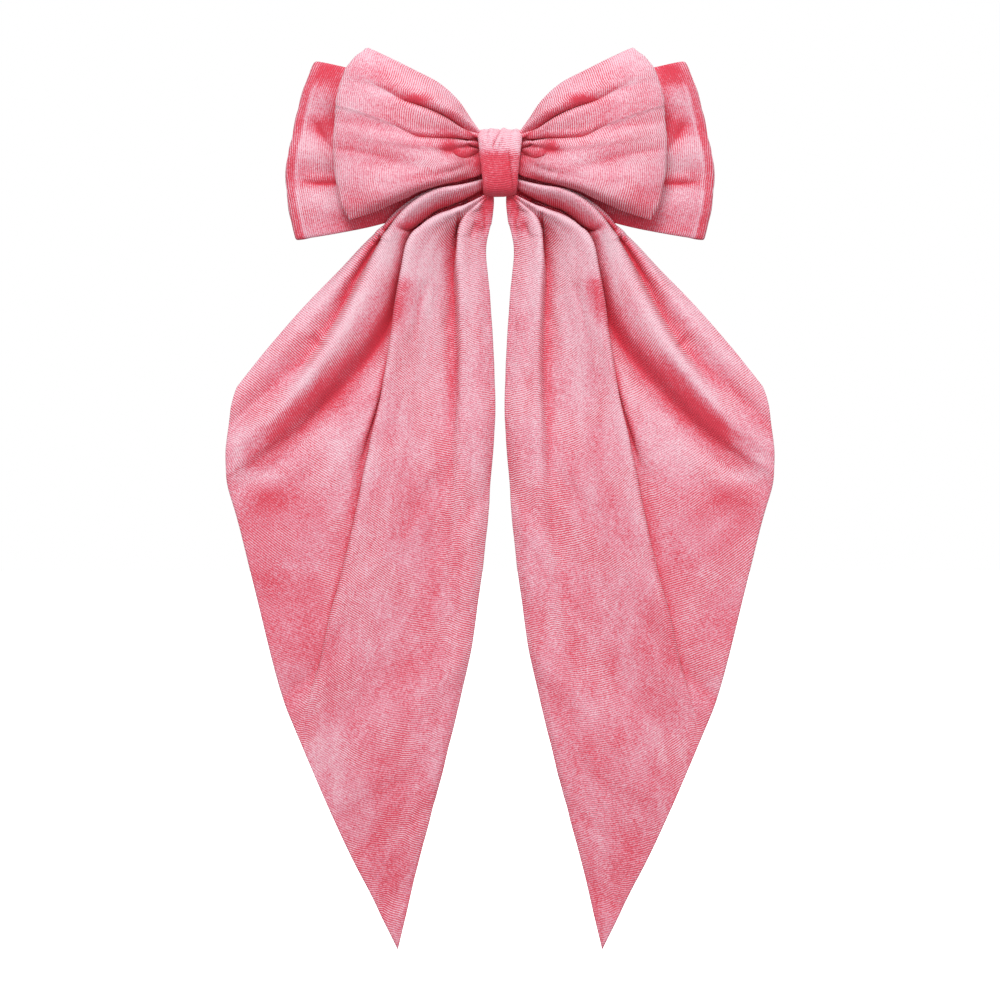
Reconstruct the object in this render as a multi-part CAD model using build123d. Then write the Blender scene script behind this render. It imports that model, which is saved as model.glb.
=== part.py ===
"""A large velvet bow barrette, in millimetres.

Frame: X runs along the clip, +Z is up as worn and -Y is the front of the bow. The origin is the middle of
the gap that the hair goes through, between the clasp arm and the tension bar.

The clip is a French barrette: an arched base plate, an arm hinged at the left (-X) end, a sprung tension bar
and a two-winged catch at the right end. The bow is three layers of gathered ribbon, one on another in front
of the plate: the back bow, the tail ribbon and the front bow. A knot strap wraps them to the plate.
"""

import math
import os

from build123d import *

# ---- clip: base plate ----
PLATE_LENGTH = 80.0
PLATE_WIDTH = 10.0
PLATE_THICKNESS = 0.8
PLATE_RADIUS = 85.0
PLATE_FRONT_Y = -7.2  # the front face at mid length
PLATE_CORNER = 3.2
SEWING_HOLE_X = 37.6
SEWING_HOLE_RADIUS = 0.9

# ---- clip: hinge ----
HINGE_X, HINGE_Y = -34.0, 5.2
PIN_RADIUS = 0.6
PIN_HEAD_RADIUS, PIN_HEAD_LENGTH = 1.0, 0.4
PIN_CLEARANCE = 0.05
EAR_INNER_Z, EAR_THICKNESS = 2.5, 0.8
EAR_END_RADIUS = 1.9
EAR_SINK = 0.2  # how far the ears' feet reach into the plate

# ---- clip: clasp arm ----
ARM_WIDTH = 4.4
ARM_THICKNESS = 0.9
ARM_FRONT_Y = 3.0  # the front face at mid length
KNUCKLE_RADIUS = 1.35
RING_X = (30.6, 36.6)
RING_HALF_WIDTH = 5.2
WINDOW_X = (31.8, 35.4)
WINDOW_HALF_WIDTH = 3.9
LIFT_TAB_X = 38.6
RING_CORNER = 1.4
JOIN = 0.5  # how far the arm's pieces run into each other

# ---- clip: tension bar ----
BAR_WIDTH = 4.0
BAR_THICKNESS = 0.4
BAR_ROOT = (-31.8, 2.2)
BAR_MIDDLE_Y = -3.2
BAR_END = (28.4, 2.4)
BAR_LUG_RADIUS = 0.55
BAR_ROLL_RADIUS = 0.8
BAR_LUG_CLEARANCE = 0.07
BAR_LUG_MARGIN = (1.5, 0.4)  # how far the ears reach past the lug, along X and Y
BAR_SIDE_GAP = 0.15
BAR_CORNER = 1.2

# ---- clip: catch ----
CATCH_X = (29.6, 36.2)
CATCH_THICKNESS = 0.5
WING_X = (32.4, 34.8)
WING_INNER_Z, WING_THICKNESS = 3.15, 0.5
WING_ROOT_Y = 2.3  # the top of the upstand that each wing springs from
WING_PIVOT_Y = 2.61
FOOT_GAP = 0.06
FOOT_SINK = 0.3  # how deep the upstands start in the foot
WING_LEAN = (0.9, 0.4)  # how far the blade's inner and outer faces lean inwards at its top
BARB_FLAT = (0.1, 1.3)  # the stretch of the barb that stands out fully, above BARB_Y
WING_TOP_Y = 8.6
BARB_Y = 5.9
BARB_DEPTH = 0.2
RIVET_X = 31.0
RIVET_RADIUS, RIVET_HEAD_RADIUS, RIVET_HEAD_HEIGHT = 0.8, 1.4, 0.4
RIVET_GRIP = PLATE_THICKNESS + FOOT_GAP + CATCH_THICKNESS

# ---- the gathered stack, from the plate forwards ----
GLUE_Y = (-8.2, -7.2)
GLUE_HALF_X, GLUE_HALF_Z = 7.6, 3.8
GLUE_CORNER = 2.5
BACK_GATHER_Y = (-11.7, -8.2)
TAIL_GATHER_Y = (-15.3, -11.8)
FRONT_GATHER_Y = (-19.1, -15.4)
GATHER_HALF_LENGTH = 8.5
WAIST_HALF_LENGTH = 1.15
WAIST_DEPTH = 0.5
THREAD_RADIUS = 0.24
THREAD_TURNS = 4
WAIST_CORNER = 0.6
FRONT_GATHER_Z = (-5.2, 7.6)
TAIL_GATHER_Z = (-9.0, 1.0)
BACK_GATHER_Z = (-7.6, 7.6)
THREAD_PITCH = 0.55

# ---- fabric ----
RIBBON_WALL = 1.5  # doubled velvet
STRAP_WALL = 1.0
STRAP_HALF_TOP, STRAP_HALF_BOTTOM = 7.4, 5.5
STRAP_SIDE_Z = 12.0  # the heights, up and down, at which the strap has those half widths
STITCH_COUNT, STITCH_PITCH = 5, 2.0
STITCH_RADIUS, STITCH_LENGTH, STITCH_SLANT = 0.2, 2.4, 20.0

# ---- tails ----
TAIL_HINGE_Y, TAIL_HINGE_Z = -13.0, -26.5
TAIL_EDGE_RADIUS = 4.0
TAIL_HINGE_CLEARANCE = 0.35
SHOULDER_Y = (-17.1, -13.3)

REACH = 150.0  # longer than anything here, for cutting prisms
THROUGH = 10.0  # far enough to pass right through the clip


def circle_through(a, b, c):
    """Centre and radius of the circle through three points of the XY plane."""
    d = 2 * (a[0] * (b[1] - c[1]) + b[0] * (c[1] - a[1]) + c[0] * (a[1] - b[1]))
    squares = [p[0] ** 2 + p[1] ** 2 for p in (a, b, c)]
    x = (squares[0] * (b[1] - c[1]) + squares[1] * (c[1] - a[1]) + squares[2] * (a[1] - b[1])) / d
    y = (squares[0] * (c[0] - b[0]) + squares[1] * (a[0] - c[0]) + squares[2] * (b[0] - a[0])) / d
    return (x, y), math.dist((x, y), a)


def prism(edges, half=REACH):
    """The face inside a closed chain of planar edges, extruded both ways."""
    return extrude(make_face(edges), amount=half, both=True)


def box_between(x, y, z):
    """A box from its ranges along X, Y and Z."""
    middle = [(a + b) / 2 for a, b in (x, y, z)]
    return Pos(*middle) * Box(x[1] - x[0], y[1] - y[0], z[1] - z[0])


def arched_strip(start, middle, end, thickness, width):
    """A strip of constant thickness whose middle line is the arc through three XY points."""
    centre, radius = circle_through(start, middle, end)

    def at(point, offset):
        k = (radius + offset) / math.dist(centre, point)
        return (centre[0] + k * (point[0] - centre[0]), centre[1] + k * (point[1] - centre[1]))

    out, back = thickness / 2, -thickness / 2
    edges = [
        ThreePointArc(at(start, out), at(middle, out), at(end, out)),
        Line(at(end, out), at(end, back)),
        ThreePointArc(at(end, back), at(middle, back), at(start, back)),
        Line(at(start, back), at(start, out)),
    ]
    return prism(edges, width / 2)


def rounded_prism_xz(half_x, half_z, radius):
    """A prism along Y with a rounded rectangle for its section."""
    return extrude(Plane.XZ * RectangleRounded(2 * half_x, 2 * half_z, radius), amount=REACH, both=True)


def rod_z(x, y, radius, low, high):
    """A round rod parallel to Z."""
    return Pos(x, y, (low + high) / 2) * Cylinder(radius, high - low)


def plate_y(x, depth=0.0):
    """Y of the plate's surface at x, depth behind its front face."""
    return PLATE_FRONT_Y + PLATE_RADIUS - math.sqrt((PLATE_RADIUS - depth) ** 2 - x**2)


def on_plate(depth, thickness, x_low, x_high, width):
    """A strip that follows the plate's arch, from depth behind the front face."""
    radius = PLATE_RADIUS - depth - thickness / 2
    ends = []
    for x in (x_low, (x_low + x_high) / 2, x_high):
        ends.append((x, PLATE_FRONT_Y + PLATE_RADIUS - math.sqrt(radius**2 - x**2)))
    return arched_strip(*ends, thickness, width)


# ------------------------------------------------------------------ clip


def hinge_ear(z_low):
    """One ear of the plate: it carries the hinge pin and a lug of the tension bar."""
    near_x, far_x = HINGE_X - EAR_END_RADIUS, BAR_ROOT[0] + BAR_LUG_MARGIN[0]
    profile = [
        (near_x, plate_y(near_x, EAR_SINK)),
        (near_x, HINGE_Y),
        (HINGE_X, HINGE_Y + EAR_END_RADIUS),
        (HINGE_X + EAR_END_RADIUS, HINGE_Y),
        (far_x, BAR_ROOT[1] + BAR_LUG_MARGIN[1]),
        (far_x, plate_y(far_x, EAR_SINK)),
    ]
    edges = [
        Line(profile[0], profile[1]),
        ThreePointArc(profile[1], profile[2], profile[3]),
        Line(profile[3], profile[4]),
        Line(profile[4], profile[5]),
        Line(profile[5], profile[0]),
    ]
    ear = extrude(make_face(edges), amount=EAR_THICKNESS)
    return Pos(0, 0, z_low) * ear


def base_plate():
    strip = on_plate(0, PLATE_THICKNESS, -PLATE_LENGTH / 2, PLATE_LENGTH / 2, PLATE_WIDTH)
    strip = strip & rounded_prism_xz(PLATE_LENGTH / 2, PLATE_WIDTH / 2, PLATE_CORNER)
    ears = hinge_ear(EAR_INNER_Z) + hinge_ear(-EAR_INNER_Z - EAR_THICKNESS)
    plate = strip + ears
    plate -= rod_z(HINGE_X, HINGE_Y, PIN_RADIUS, -THROUGH, THROUGH)
    plate -= rod_z(*BAR_ROOT, BAR_LUG_RADIUS + BAR_LUG_CLEARANCE, -THROUGH, THROUGH)
    for x in (-SEWING_HOLE_X, SEWING_HOLE_X):
        plate -= Pos(x, 0, 0) * Rot(90, 0, 0) * Cylinder(SEWING_HOLE_RADIUS, REACH)
    return plate - rivet_shank()


def hinge_pin():
    outer = EAR_INNER_Z + EAR_THICKNESS
    pin = rod_z(HINGE_X, HINGE_Y, PIN_RADIUS, -outer, outer)
    pin += rod_z(HINGE_X, HINGE_Y, PIN_HEAD_RADIUS, outer, outer + PIN_HEAD_LENGTH)
    pin += rod_z(HINGE_X, HINGE_Y, PIN_HEAD_RADIUS, -outer - PIN_HEAD_LENGTH, -outer)
    return pin


def clasp_arm():
    """The arm: a rolled knuckle round the pin, an arched strip and a windowed ring with a lift tab."""
    middle = (0, ARM_FRONT_Y + ARM_THICKNESS / 2)
    start, end = (HINGE_X, HINGE_Y), (-HINGE_X, HINGE_Y)
    centre, radius = circle_through(start, middle, end)

    def arm_point(x):
        return (x, centre[1] - math.sqrt(radius**2 - x**2))

    def piece(x_low, x_high, width):
        return arched_strip(
            arm_point(x_low), arm_point((x_low + x_high) / 2), arm_point(x_high), ARM_THICKNESS, width
        )

    knuckle = rod_z(HINGE_X, HINGE_Y, KNUCKLE_RADIUS, -ARM_WIDTH / 2, ARM_WIDTH / 2)
    arm = knuckle + piece(HINGE_X, RING_X[0] + JOIN, ARM_WIDTH)
    ring_middle = sum(RING_X) / 2
    ring = piece(*RING_X, 2 * RING_HALF_WIDTH)
    ring_outline = rounded_prism_xz((RING_X[1] - RING_X[0]) / 2, RING_HALF_WIDTH, RING_CORNER)
    ring &= Pos(ring_middle, 0, 0) * ring_outline
    tab = piece(RING_X[1] - JOIN, LIFT_TAB_X, ARM_WIDTH)
    arm += ring + tab
    arm -= box_between(WINDOW_X, (0, THROUGH), (-WINDOW_HALF_WIDTH, WINDOW_HALF_WIDTH))
    return arm - rod_z(HINGE_X, HINGE_Y, PIN_RADIUS + PIN_CLEARANCE, -THROUGH, THROUGH)


def tension_bar():
    """The tension bar: a thin arched leaf with a rolled end whose lugs turn in the plate's ears."""
    leaf = arched_strip(BAR_ROOT, (0, BAR_MIDDLE_Y), BAR_END, BAR_THICKNESS, BAR_WIDTH)
    half = BAR_WIDTH / 2
    rounded_end = Pos(BAR_END[0] / 2, 0, 0) * rounded_prism_xz(BAR_END[0] / 2, half, BAR_CORNER)
    square_end = box_between((BAR_ROOT[0] - 1, BAR_END[0] / 2), (-THROUGH, THROUGH), (-half, half))
    leaf &= rounded_end + square_end
    roll_end = EAR_INNER_Z - BAR_SIDE_GAP
    roll = rod_z(*BAR_ROOT, BAR_ROLL_RADIUS, -roll_end, roll_end)
    lug_end = EAR_INNER_Z + EAR_THICKNESS
    return leaf + roll + rod_z(*BAR_ROOT, BAR_LUG_RADIUS, -lug_end, lug_end)


def rivet_frame():
    """Where the rivet stands: on the plate's front face at RIVET_X, with its axis square to the plate."""
    slope = math.degrees(math.asin(RIVET_X / PLATE_RADIUS))
    return Pos(RIVET_X, plate_y(RIVET_X), 0) * Rot(0, 0, slope) * Rot(-90, 0, 0)


def rivet_shank():
    shank = Cylinder(RIVET_RADIUS, RIVET_GRIP + 2 * RIVET_HEAD_HEIGHT)
    return rivet_frame() * Pos(0, 0, RIVET_GRIP / 2) * shank


def catch_base():
    """The catch's foot on the plate, with a short upstand under each wing."""
    outer = WING_INNER_Z + WING_THICKNESS
    depth = PLATE_THICKNESS + FOOT_GAP
    foot = on_plate(depth, CATCH_THICKNESS, *CATCH_X, 2 * outer)
    low_y = plate_y(WING_X[0], PLATE_THICKNESS + FOOT_SINK)
    cut_x = (WING_X[0] - THROUGH, WING_X[1] + THROUGH)
    in_the_plate = on_plate(-THROUGH, depth + THROUGH, *cut_x, 3 * PLATE_WIDTH)
    for side in (1, -1):
        z = sorted((side * WING_INNER_Z, side * outer))
        upstand = box_between(WING_X, (low_y, WING_ROOT_Y), z)
        foot += upstand - in_the_plate
    return foot - rivet_shank()


def catch_wing(side):
    """One wing of the catch: a blade with a round root, and a barb that the arm's ring snaps behind."""
    inner, outer = side * WING_INNER_Z, side * (WING_INNER_Z + WING_THICKNESS)
    barb = side * (WING_INNER_Z + WING_THICKNESS + BARB_DEPTH)
    points = [
        (WING_PIVOT_Y, inner),
        (WING_TOP_Y, side * (WING_INNER_Z - WING_LEAN[0])),
        (WING_TOP_Y, side * (WING_INNER_Z - WING_LEAN[1])),
        (BARB_Y + BARB_FLAT[1], barb),
        (BARB_Y + BARB_FLAT[0], barb),
        (BARB_Y, outer),
        (WING_PIVOT_Y, outer),
    ]
    width = WING_X[1] - WING_X[0]
    blade = extrude(make_face(Plane.YZ * Polyline(*points, close=True)), amount=width, dir=(1, 0, 0))
    root = Rot(0, 90, 0) * Cylinder(WING_THICKNESS / 2, width)
    return Pos(WING_X[0], 0, 0) * blade + Pos(sum(WING_X) / 2, WING_PIVOT_Y, (inner + outer) / 2) * root


def catch_rivet():
    """A tubular rivet through the plate and the catch's foot, its heads fitted to both."""
    rod = Pos(0, 0, RIVET_GRIP / 2) * Cylinder(RIVET_RADIUS, RIVET_GRIP)
    head = Cylinder(RIVET_HEAD_RADIUS, RIVET_HEAD_HEIGHT + 0.1)
    front = Pos(0, 0, -RIVET_HEAD_HEIGHT / 2) * head
    back = Pos(0, 0, RIVET_GRIP + RIVET_HEAD_HEIGHT / 2) * head
    rivet = rivet_frame() * (rod + front + back)
    return rivet - base_plate() - catch_base()


# ------------------------------------------------------------------ fabric

# Outlines in the XZ plane of the left-hand lobes and tail, as worn. The right-hand ones are mirror images.
FRONT_TOP_EDGE = [(-7.9, 8.8), (-13.5, 20.0), (-25.0, 29.0), (-43.5, 38.2)]
FRONT_OUTER_EDGE = [(-43.5, 38.2), (-51.0, 30.5), (-54.4, 16.0), (-53.0, -5.0), (-49.8, -19.2)]
FRONT_LOWER_EDGE = [(-49.8, -19.2), (-33.0, -13.2), (-20.0, -7.6), (-7.9, -4.8)]
BACK_TOP_EDGE = [(-7.9, 8.8), (-24.0, 21.0), (-45.0, 30.5), (-61.0, 33.5)]
BACK_OUTER_EDGE = [(-61.0, 33.5), (-66.4, 17.5), (-70.2, 0.0), (-70.2, -9.0), (-67.2, -25.6)]
BACK_LOWER_EDGE = [(-67.2, -25.6), (-50.0, -22.6), (-30.0, -17.0), (-7.9, -8.0)]
TAIL_SLANT_EDGE = [(-37.5, -19.6), (-60.0, -42.5), (-87.4, -74.5)]
TAIL_OUTER_EDGE = [(-87.4, -74.5), (-91.2, -98.0), (-82.0, -142.0), (-56.5, -214.0), (-33.9, -261.2)]
TAIL_INNER_EDGE = [
    (-33.9, -261.2), (-21.0, -207.0), (-6.5, -137.0), (-2.0, -80.0), (-3.9, -29.0), (-2.0, -15.0)
]

# The left shoulder of the tail ribbon, from the knot out to the tail and back.
SHOULDER_TOP = [(-7.9, -5.4), (-20.0, -8.4), (-33.0, -14.0), (-43.0, -23.0)]
SHOULDER_BOTTOM = [(-43.0, -25.0), (-3.9, -25.0), (-2.0, -15.5), (-3.4, -11.6), (-7.9, -11.4)]
SHOULDER_OUTLINE = SHOULDER_TOP + SHOULDER_BOTTOM

# The side view of a tail: how far forward and back its folds reach at each height.
TAIL_FRONT_PROFILE = [(-16.1, -22.0), (-17.9, -70.0), (-15.5, -180.0), (-13.8, -262.0)]
TAIL_BACK_PROFILE = [(-10.6, -262.0), (-9.3, -180.0), (-7.8, -70.0), (-9.6, -22.0)]

FRONT_LOOP = {"root": FRONT_GATHER_Y, "belly": (-30.0, -28.2), "fold": (-54.4, -21.2), "back": (-30.0, -18.1)}
BACK_LOOP = {"root": BACK_GATHER_Y, "belly": (-36.0, -13.0), "fold": (-70.2, -5.6), "back": (-36.0, -6.4)}
FOLD_RADIUS = 2.2
ROOT_X = -7.9


def edge_xz(points):
    """A smooth edge through XZ points, or a straight one between two."""
    spots = [(x, 0, z) for x, z in points]
    return Line(*spots) if len(spots) == 2 else Spline(*spots)


def outline_prism(*edges):
    """A prism along Y from open edges given end to end; a straight edge closes them."""
    parts = [edge_xz(e) for e in edges]
    parts.append(edge_xz([edges[-1][-1], edges[0][0]]))
    return prism(parts)


def lobe_shell(loop, wall):
    """One lobe's loop seen from above: out along the front, round the fold and home along the back."""
    front_y, back_y = loop["root"]
    fold_x, fold_y = loop["fold"]
    turn_x = fold_x + FOLD_RADIUS
    edges = [
        ThreePointArc((ROOT_X, front_y), loop["belly"], (turn_x, fold_y - FOLD_RADIUS)),
        ThreePointArc((turn_x, fold_y - FOLD_RADIUS), (fold_x, fold_y), (turn_x, fold_y + FOLD_RADIUS)),
        ThreePointArc((turn_x, fold_y + FOLD_RADIUS), loop["back"], (ROOT_X, back_y)),
        Line((ROOT_X, back_y), (ROOT_X, front_y)),
    ]
    outside = make_face(edges)
    inside = offset(outside, amount=-wall)
    return extrude(outside, amount=REACH, both=True) - extrude(inside, amount=REACH, both=True)


def waist_outline(y, z, inset, radius):
    """A gather's YZ section, inset from its faces and rounded at its corners."""
    middle = Plane(origin=(0, (y[0] + y[1]) / 2, (z[0] + z[1]) / 2), x_dir=(0, 1, 0), z_dir=(1, 0, 0))
    return middle * RectangleRounded(y[1] - y[0] - 2 * inset, z[1] - z[0] - 2 * inset, radius)


def gather(y, z):
    """The pinched middle of a ribbon, with a waist for its cinching thread."""
    block = box_between((-GATHER_HALF_LENGTH, GATHER_HALF_LENGTH), y, z)
    collar = box_between((-WAIST_HALF_LENGTH, WAIST_HALF_LENGTH), (y[0] - 1, y[1] + 1), (z[0] - 1, z[1] + 1))
    core = extrude(waist_outline(y, z, WAIST_DEPTH, WAIST_CORNER), amount=WAIST_HALF_LENGTH, both=True)
    return block - (collar - core)


def cinch_thread(y, z):
    """Separate turns of thread side by side round a gather's waist."""
    inset = WAIST_DEPTH - THREAD_RADIUS
    path = waist_outline(y, z, inset, WAIST_CORNER + THREAD_RADIUS).face().outer_wire()
    section = Plane(origin=path @ 0, z_dir=path % 0) * Circle(THREAD_RADIUS)
    ring = sweep(section, path=path)
    places = [(i - (THREAD_TURNS - 1) / 2) * THREAD_PITCH for i in range(THREAD_TURNS)]
    return Compound(children=[Pos(x, 0, 0) * ring for x in places])


def bow(loop, outline, gather_z):
    """A bow of two lobes and the gather between them, as one piece of ribbon."""
    lobe = lobe_shell(loop, RIBBON_WALL) & outline_prism(*outline)
    return lobe + mirror(lobe, about=Plane.YZ) + gather(loop["root"], gather_z)


def front_bow():
    outline = (FRONT_TOP_EDGE, FRONT_OUTER_EDGE, FRONT_LOWER_EDGE)
    return bow(FRONT_LOOP, outline, FRONT_GATHER_Z)


def back_bow():
    outline = (BACK_TOP_EDGE, BACK_OUTER_EDGE, BACK_LOWER_EDGE)
    return bow(BACK_LOOP, outline, BACK_GATHER_Z)


def tail_axis_rod(radius):
    """A rod along X on the line that the tails swing about."""
    return Pos(0, TAIL_HINGE_Y, TAIL_HINGE_Z) * Rot(0, 90, 0) * Cylinder(radius, 2 * REACH)


def side_profile_prism():
    """The tails' depth in side view, as a prism along X."""
    front = Spline(*[(0, y, z) for y, z in TAIL_FRONT_PROFILE])
    back = Spline(*[(0, y, z) for y, z in TAIL_BACK_PROFILE])
    ends = [Line(front @ 1, back @ 0), Line(back @ 1, front @ 0)]
    return prism([front, ends[0], back, ends[1]])


def left_tail():
    """The hanging panel of the left tail, with its top edge rounded about the line that it swings on."""
    panel = outline_prism(TAIL_SLANT_EDGE, TAIL_OUTER_EDGE, TAIL_INNER_EDGE) & side_profile_prism()
    below = box_between((-REACH, 0), (-60, 60), (-300, TAIL_HINGE_Z))
    edge = tail_axis_rod(TAIL_EDGE_RADIUS) & box_between((-43.0, -4.2), (-60, 60), (-60, 0))
    return (panel & below) + edge


def tail_gather():
    """The tail ribbon's pinched middle and its two shoulders, where it turns down out of the knot."""
    face = make_face(Polyline(*[(x, 0, z) for x, z in SHOULDER_OUTLINE], close=True))
    shoulder = extrude(face, amount=REACH, both=True) & box_between((-60, 0), SHOULDER_Y, (-60, 0))
    shoulder -= tail_axis_rod(TAIL_EDGE_RADIUS + TAIL_HINGE_CLEARANCE)
    return shoulder + mirror(shoulder, about=Plane.YZ) + gather(TAIL_GATHER_Y, TAIL_GATHER_Z)


def glue_pad():
    """The layer of set glue between the plate's front face and the back bow's gather."""
    slab = box_between((-GLUE_HALF_X, GLUE_HALF_X), (GLUE_Y[0], 0), (-GLUE_HALF_Z, GLUE_HALF_Z))
    slab &= rounded_prism_xz(GLUE_HALF_X, GLUE_HALF_Z, GLUE_CORNER)
    return slab - on_plate(0, 3 * THROUGH, -3 * THROUGH, 3 * THROUGH, 3 * THROUGH)


def strap_profile(grow):
    """The knot strap's outline in side view, grown outwards from the stack that it wraps."""
    points = [
        (PLATE_FRONT_Y + PLATE_THICKNESS, -5.6),
        (PLATE_FRONT_Y + PLATE_THICKNESS, 5.6),
        (-8.1, 8.0),
        (-11.0, 9.2),
        (-16.0, 9.6),
        (-19.2, 7.8),
        (-19.2, -7.0),
        (-16.0, -9.8),
        (-11.0, -9.4),
        (-8.1, -8.0),
    ]
    face = make_face(Plane.YZ * Polyline(*points, close=True))
    return offset(face, amount=grow) if grow else face


def knot_strap():
    """The strap round the stack and the plate, narrower at the bottom than at the top."""
    tube = extrude(strap_profile(STRAP_WALL) - strap_profile(0), amount=2 * THROUGH, both=True)
    top, bottom = (STRAP_HALF_TOP, STRAP_SIDE_Z), (STRAP_HALF_BOTTOM, -STRAP_SIDE_Z)
    sides = [top, bottom, (-bottom[0], bottom[1]), (-top[0], top[1])]
    face = make_face(Polyline(*[(x, 0, z) for x, z in sides], close=True))
    strap = tube & extrude(face, amount=REACH, both=True)
    return strap - on_plate(0, PLATE_THICKNESS, -2 * THROUGH, 2 * THROUGH, PLATE_WIDTH + 1)


def knot_stitches():
    """Whip stitches that close the strap's lapped ends behind the plate."""
    y = PLATE_FRONT_Y + PLATE_THICKNESS + STRAP_WALL + STITCH_RADIUS
    half = STITCH_LENGTH / 2
    stitch = Cylinder(STITCH_RADIUS, STITCH_LENGTH)
    stitch += Pos(0, 0, half) * Sphere(STITCH_RADIUS) + Pos(0, 0, -half) * Sphere(STITCH_RADIUS)
    places = [(i - (STITCH_COUNT - 1) / 2) * STITCH_PITCH for i in range(STITCH_COUNT)]
    return Compound(children=[Pos(x, y, 0) * Rot(0, STITCH_SLANT, 0) * stitch for x in places])


def main():
    os.makedirs("parts", exist_ok=True)
    nodes = {
        "base_plate": base_plate(),
        "hinge_pin": hinge_pin(),
        "clasp_arm": clasp_arm(),
        "tension_bar": tension_bar(),
        "catch_base": catch_base(),
        "catch_wing_upper": catch_wing(1),
        "catch_wing_lower": catch_wing(-1),
        "catch_rivet": catch_rivet(),
        "glue_pad": glue_pad(),
        "back_bow": back_bow(),
        "back_bow_thread": cinch_thread(BACK_GATHER_Y, BACK_GATHER_Z),
        "tail_gather": tail_gather(),
        "tail_thread": cinch_thread(TAIL_GATHER_Y, TAIL_GATHER_Z),
        "left_tail": left_tail(),
        "right_tail": mirror(left_tail(), about=Plane.YZ),
        "front_bow": front_bow(),
        "front_bow_thread": cinch_thread(FRONT_GATHER_Y, FRONT_GATHER_Z),
        "knot_strap": knot_strap(),
        "knot_stitches": knot_stitches(),
    }
    for name, shape in nodes.items():
        export_step(shape, f"parts/{name}.step")


main()
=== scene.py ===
"""Looks of the velvet bow barrette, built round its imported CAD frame.

Lengths are in millimetres until a mesh is made. A place is an (x, z) pair, as seen from the front. The left
tail and lobes are modelled, and the right ones are their mirror images.
"""

import math

import bpy
import numpy as np
from mathutils.bvhtree import BVHTree
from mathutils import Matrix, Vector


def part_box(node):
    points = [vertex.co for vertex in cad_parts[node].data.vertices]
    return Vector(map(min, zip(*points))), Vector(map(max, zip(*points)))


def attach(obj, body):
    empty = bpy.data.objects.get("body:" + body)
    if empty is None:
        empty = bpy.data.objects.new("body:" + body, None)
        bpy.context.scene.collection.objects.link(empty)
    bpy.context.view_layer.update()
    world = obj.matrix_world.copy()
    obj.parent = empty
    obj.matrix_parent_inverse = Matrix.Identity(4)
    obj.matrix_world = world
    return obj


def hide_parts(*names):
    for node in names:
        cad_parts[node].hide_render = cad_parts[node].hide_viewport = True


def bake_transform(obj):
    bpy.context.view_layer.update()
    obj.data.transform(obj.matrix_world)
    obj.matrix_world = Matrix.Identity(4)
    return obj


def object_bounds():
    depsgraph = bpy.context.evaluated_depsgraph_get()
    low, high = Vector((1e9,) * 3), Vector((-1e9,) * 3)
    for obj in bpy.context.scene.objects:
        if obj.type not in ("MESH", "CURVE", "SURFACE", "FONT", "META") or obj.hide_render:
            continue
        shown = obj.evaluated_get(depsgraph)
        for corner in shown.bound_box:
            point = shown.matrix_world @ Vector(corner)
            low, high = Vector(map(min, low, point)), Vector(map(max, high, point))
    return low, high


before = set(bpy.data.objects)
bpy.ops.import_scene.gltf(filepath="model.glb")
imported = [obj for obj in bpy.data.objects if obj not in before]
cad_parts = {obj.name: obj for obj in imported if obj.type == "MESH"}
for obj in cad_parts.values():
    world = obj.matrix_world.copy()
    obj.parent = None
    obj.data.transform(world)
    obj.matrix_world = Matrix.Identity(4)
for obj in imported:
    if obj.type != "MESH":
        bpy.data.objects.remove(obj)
cad_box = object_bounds()
MM = 0.001

FRAME_WIDTH = 332.0
LENS, SENSOR = 100.0, 36.0
VIEW_MIDDLE_Z = -111.9
VIEW_PLANE_Y = -13.5
CAMERA_Y = VIEW_PLANE_Y - FRAME_WIDTH * LENS / SENSOR

RAIL_STEPS = 600
CREASE_STEPS = 90
NOISE_CELLS = 97
FULLY_SHADED = 0.7
EDGE_ROUNDING = 1.1
BACK_FACE_SHIFT = 7.0

# ------------------------------------------------------------------ surfaces from rails


def from_front(places, y):
    """XYZ points at depths y that look, from the front, as if they stood at places in the view plane."""
    places = np.asarray(places, float)
    nearer = (np.asarray(y, float) - CAMERA_Y) / (VIEW_PLANE_Y - CAMERA_Y)
    z = VIEW_MIDDLE_Z + (places[:, 1] - VIEW_MIDDLE_Z) * nearer
    return np.stack([places[:, 0] * nearer, y, z], axis=1)


def spline(points, knots, at):
    """The smooth curve through points (n, ...) at knots, read at the parameters in at."""
    points = np.asarray(points, float)
    slopes = np.gradient(points, knots, axis=0)
    i = np.clip(np.searchsorted(knots, at, side="right") - 1, 0, len(knots) - 2)
    span = knots[i + 1] - knots[i]
    shape = (len(at),) + (1,) * (points.ndim - 1)
    u = ((at - knots[i]) / span).reshape(shape)
    span = span.reshape(shape)
    start, end = points[i], points[i + 1]
    return (
        (2 * u**3 - 3 * u**2 + 1) * start
        + (u**3 - 2 * u**2 + u) * span * slopes[i]
        + (3 * u**2 - 2 * u**3) * end
        + (u**3 - u**2) * span * slopes[i + 1]
    )


def chord_knots(points, power=0.6):
    """Knots from 0 to 1 that follow the spacing of points (n, 2 or 3)."""
    chords = np.linalg.norm(np.diff(np.asarray(points, float), axis=0), axis=1)
    knots = np.concatenate([[0], np.cumsum(np.maximum(chords, 1e-6) ** power)])
    return knots / knots[-1]


class Rail:
    """A smooth curve through XYZ points that can be read at any distance along it."""

    def __init__(self, points):
        points = np.asarray(points, float)
        self.line = spline(points, chord_knots(points), np.linspace(0, 1, RAIL_STEPS))
        steps = np.linalg.norm(np.diff(self.line, axis=0), axis=1)
        self.run = np.concatenate([[0], np.cumsum(steps)])
        self.length = self.run[-1]

    def at(self, distance):
        return np.stack([np.interp(distance, self.run, self.line[:, k]) for k in range(3)], axis=-1)


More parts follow.
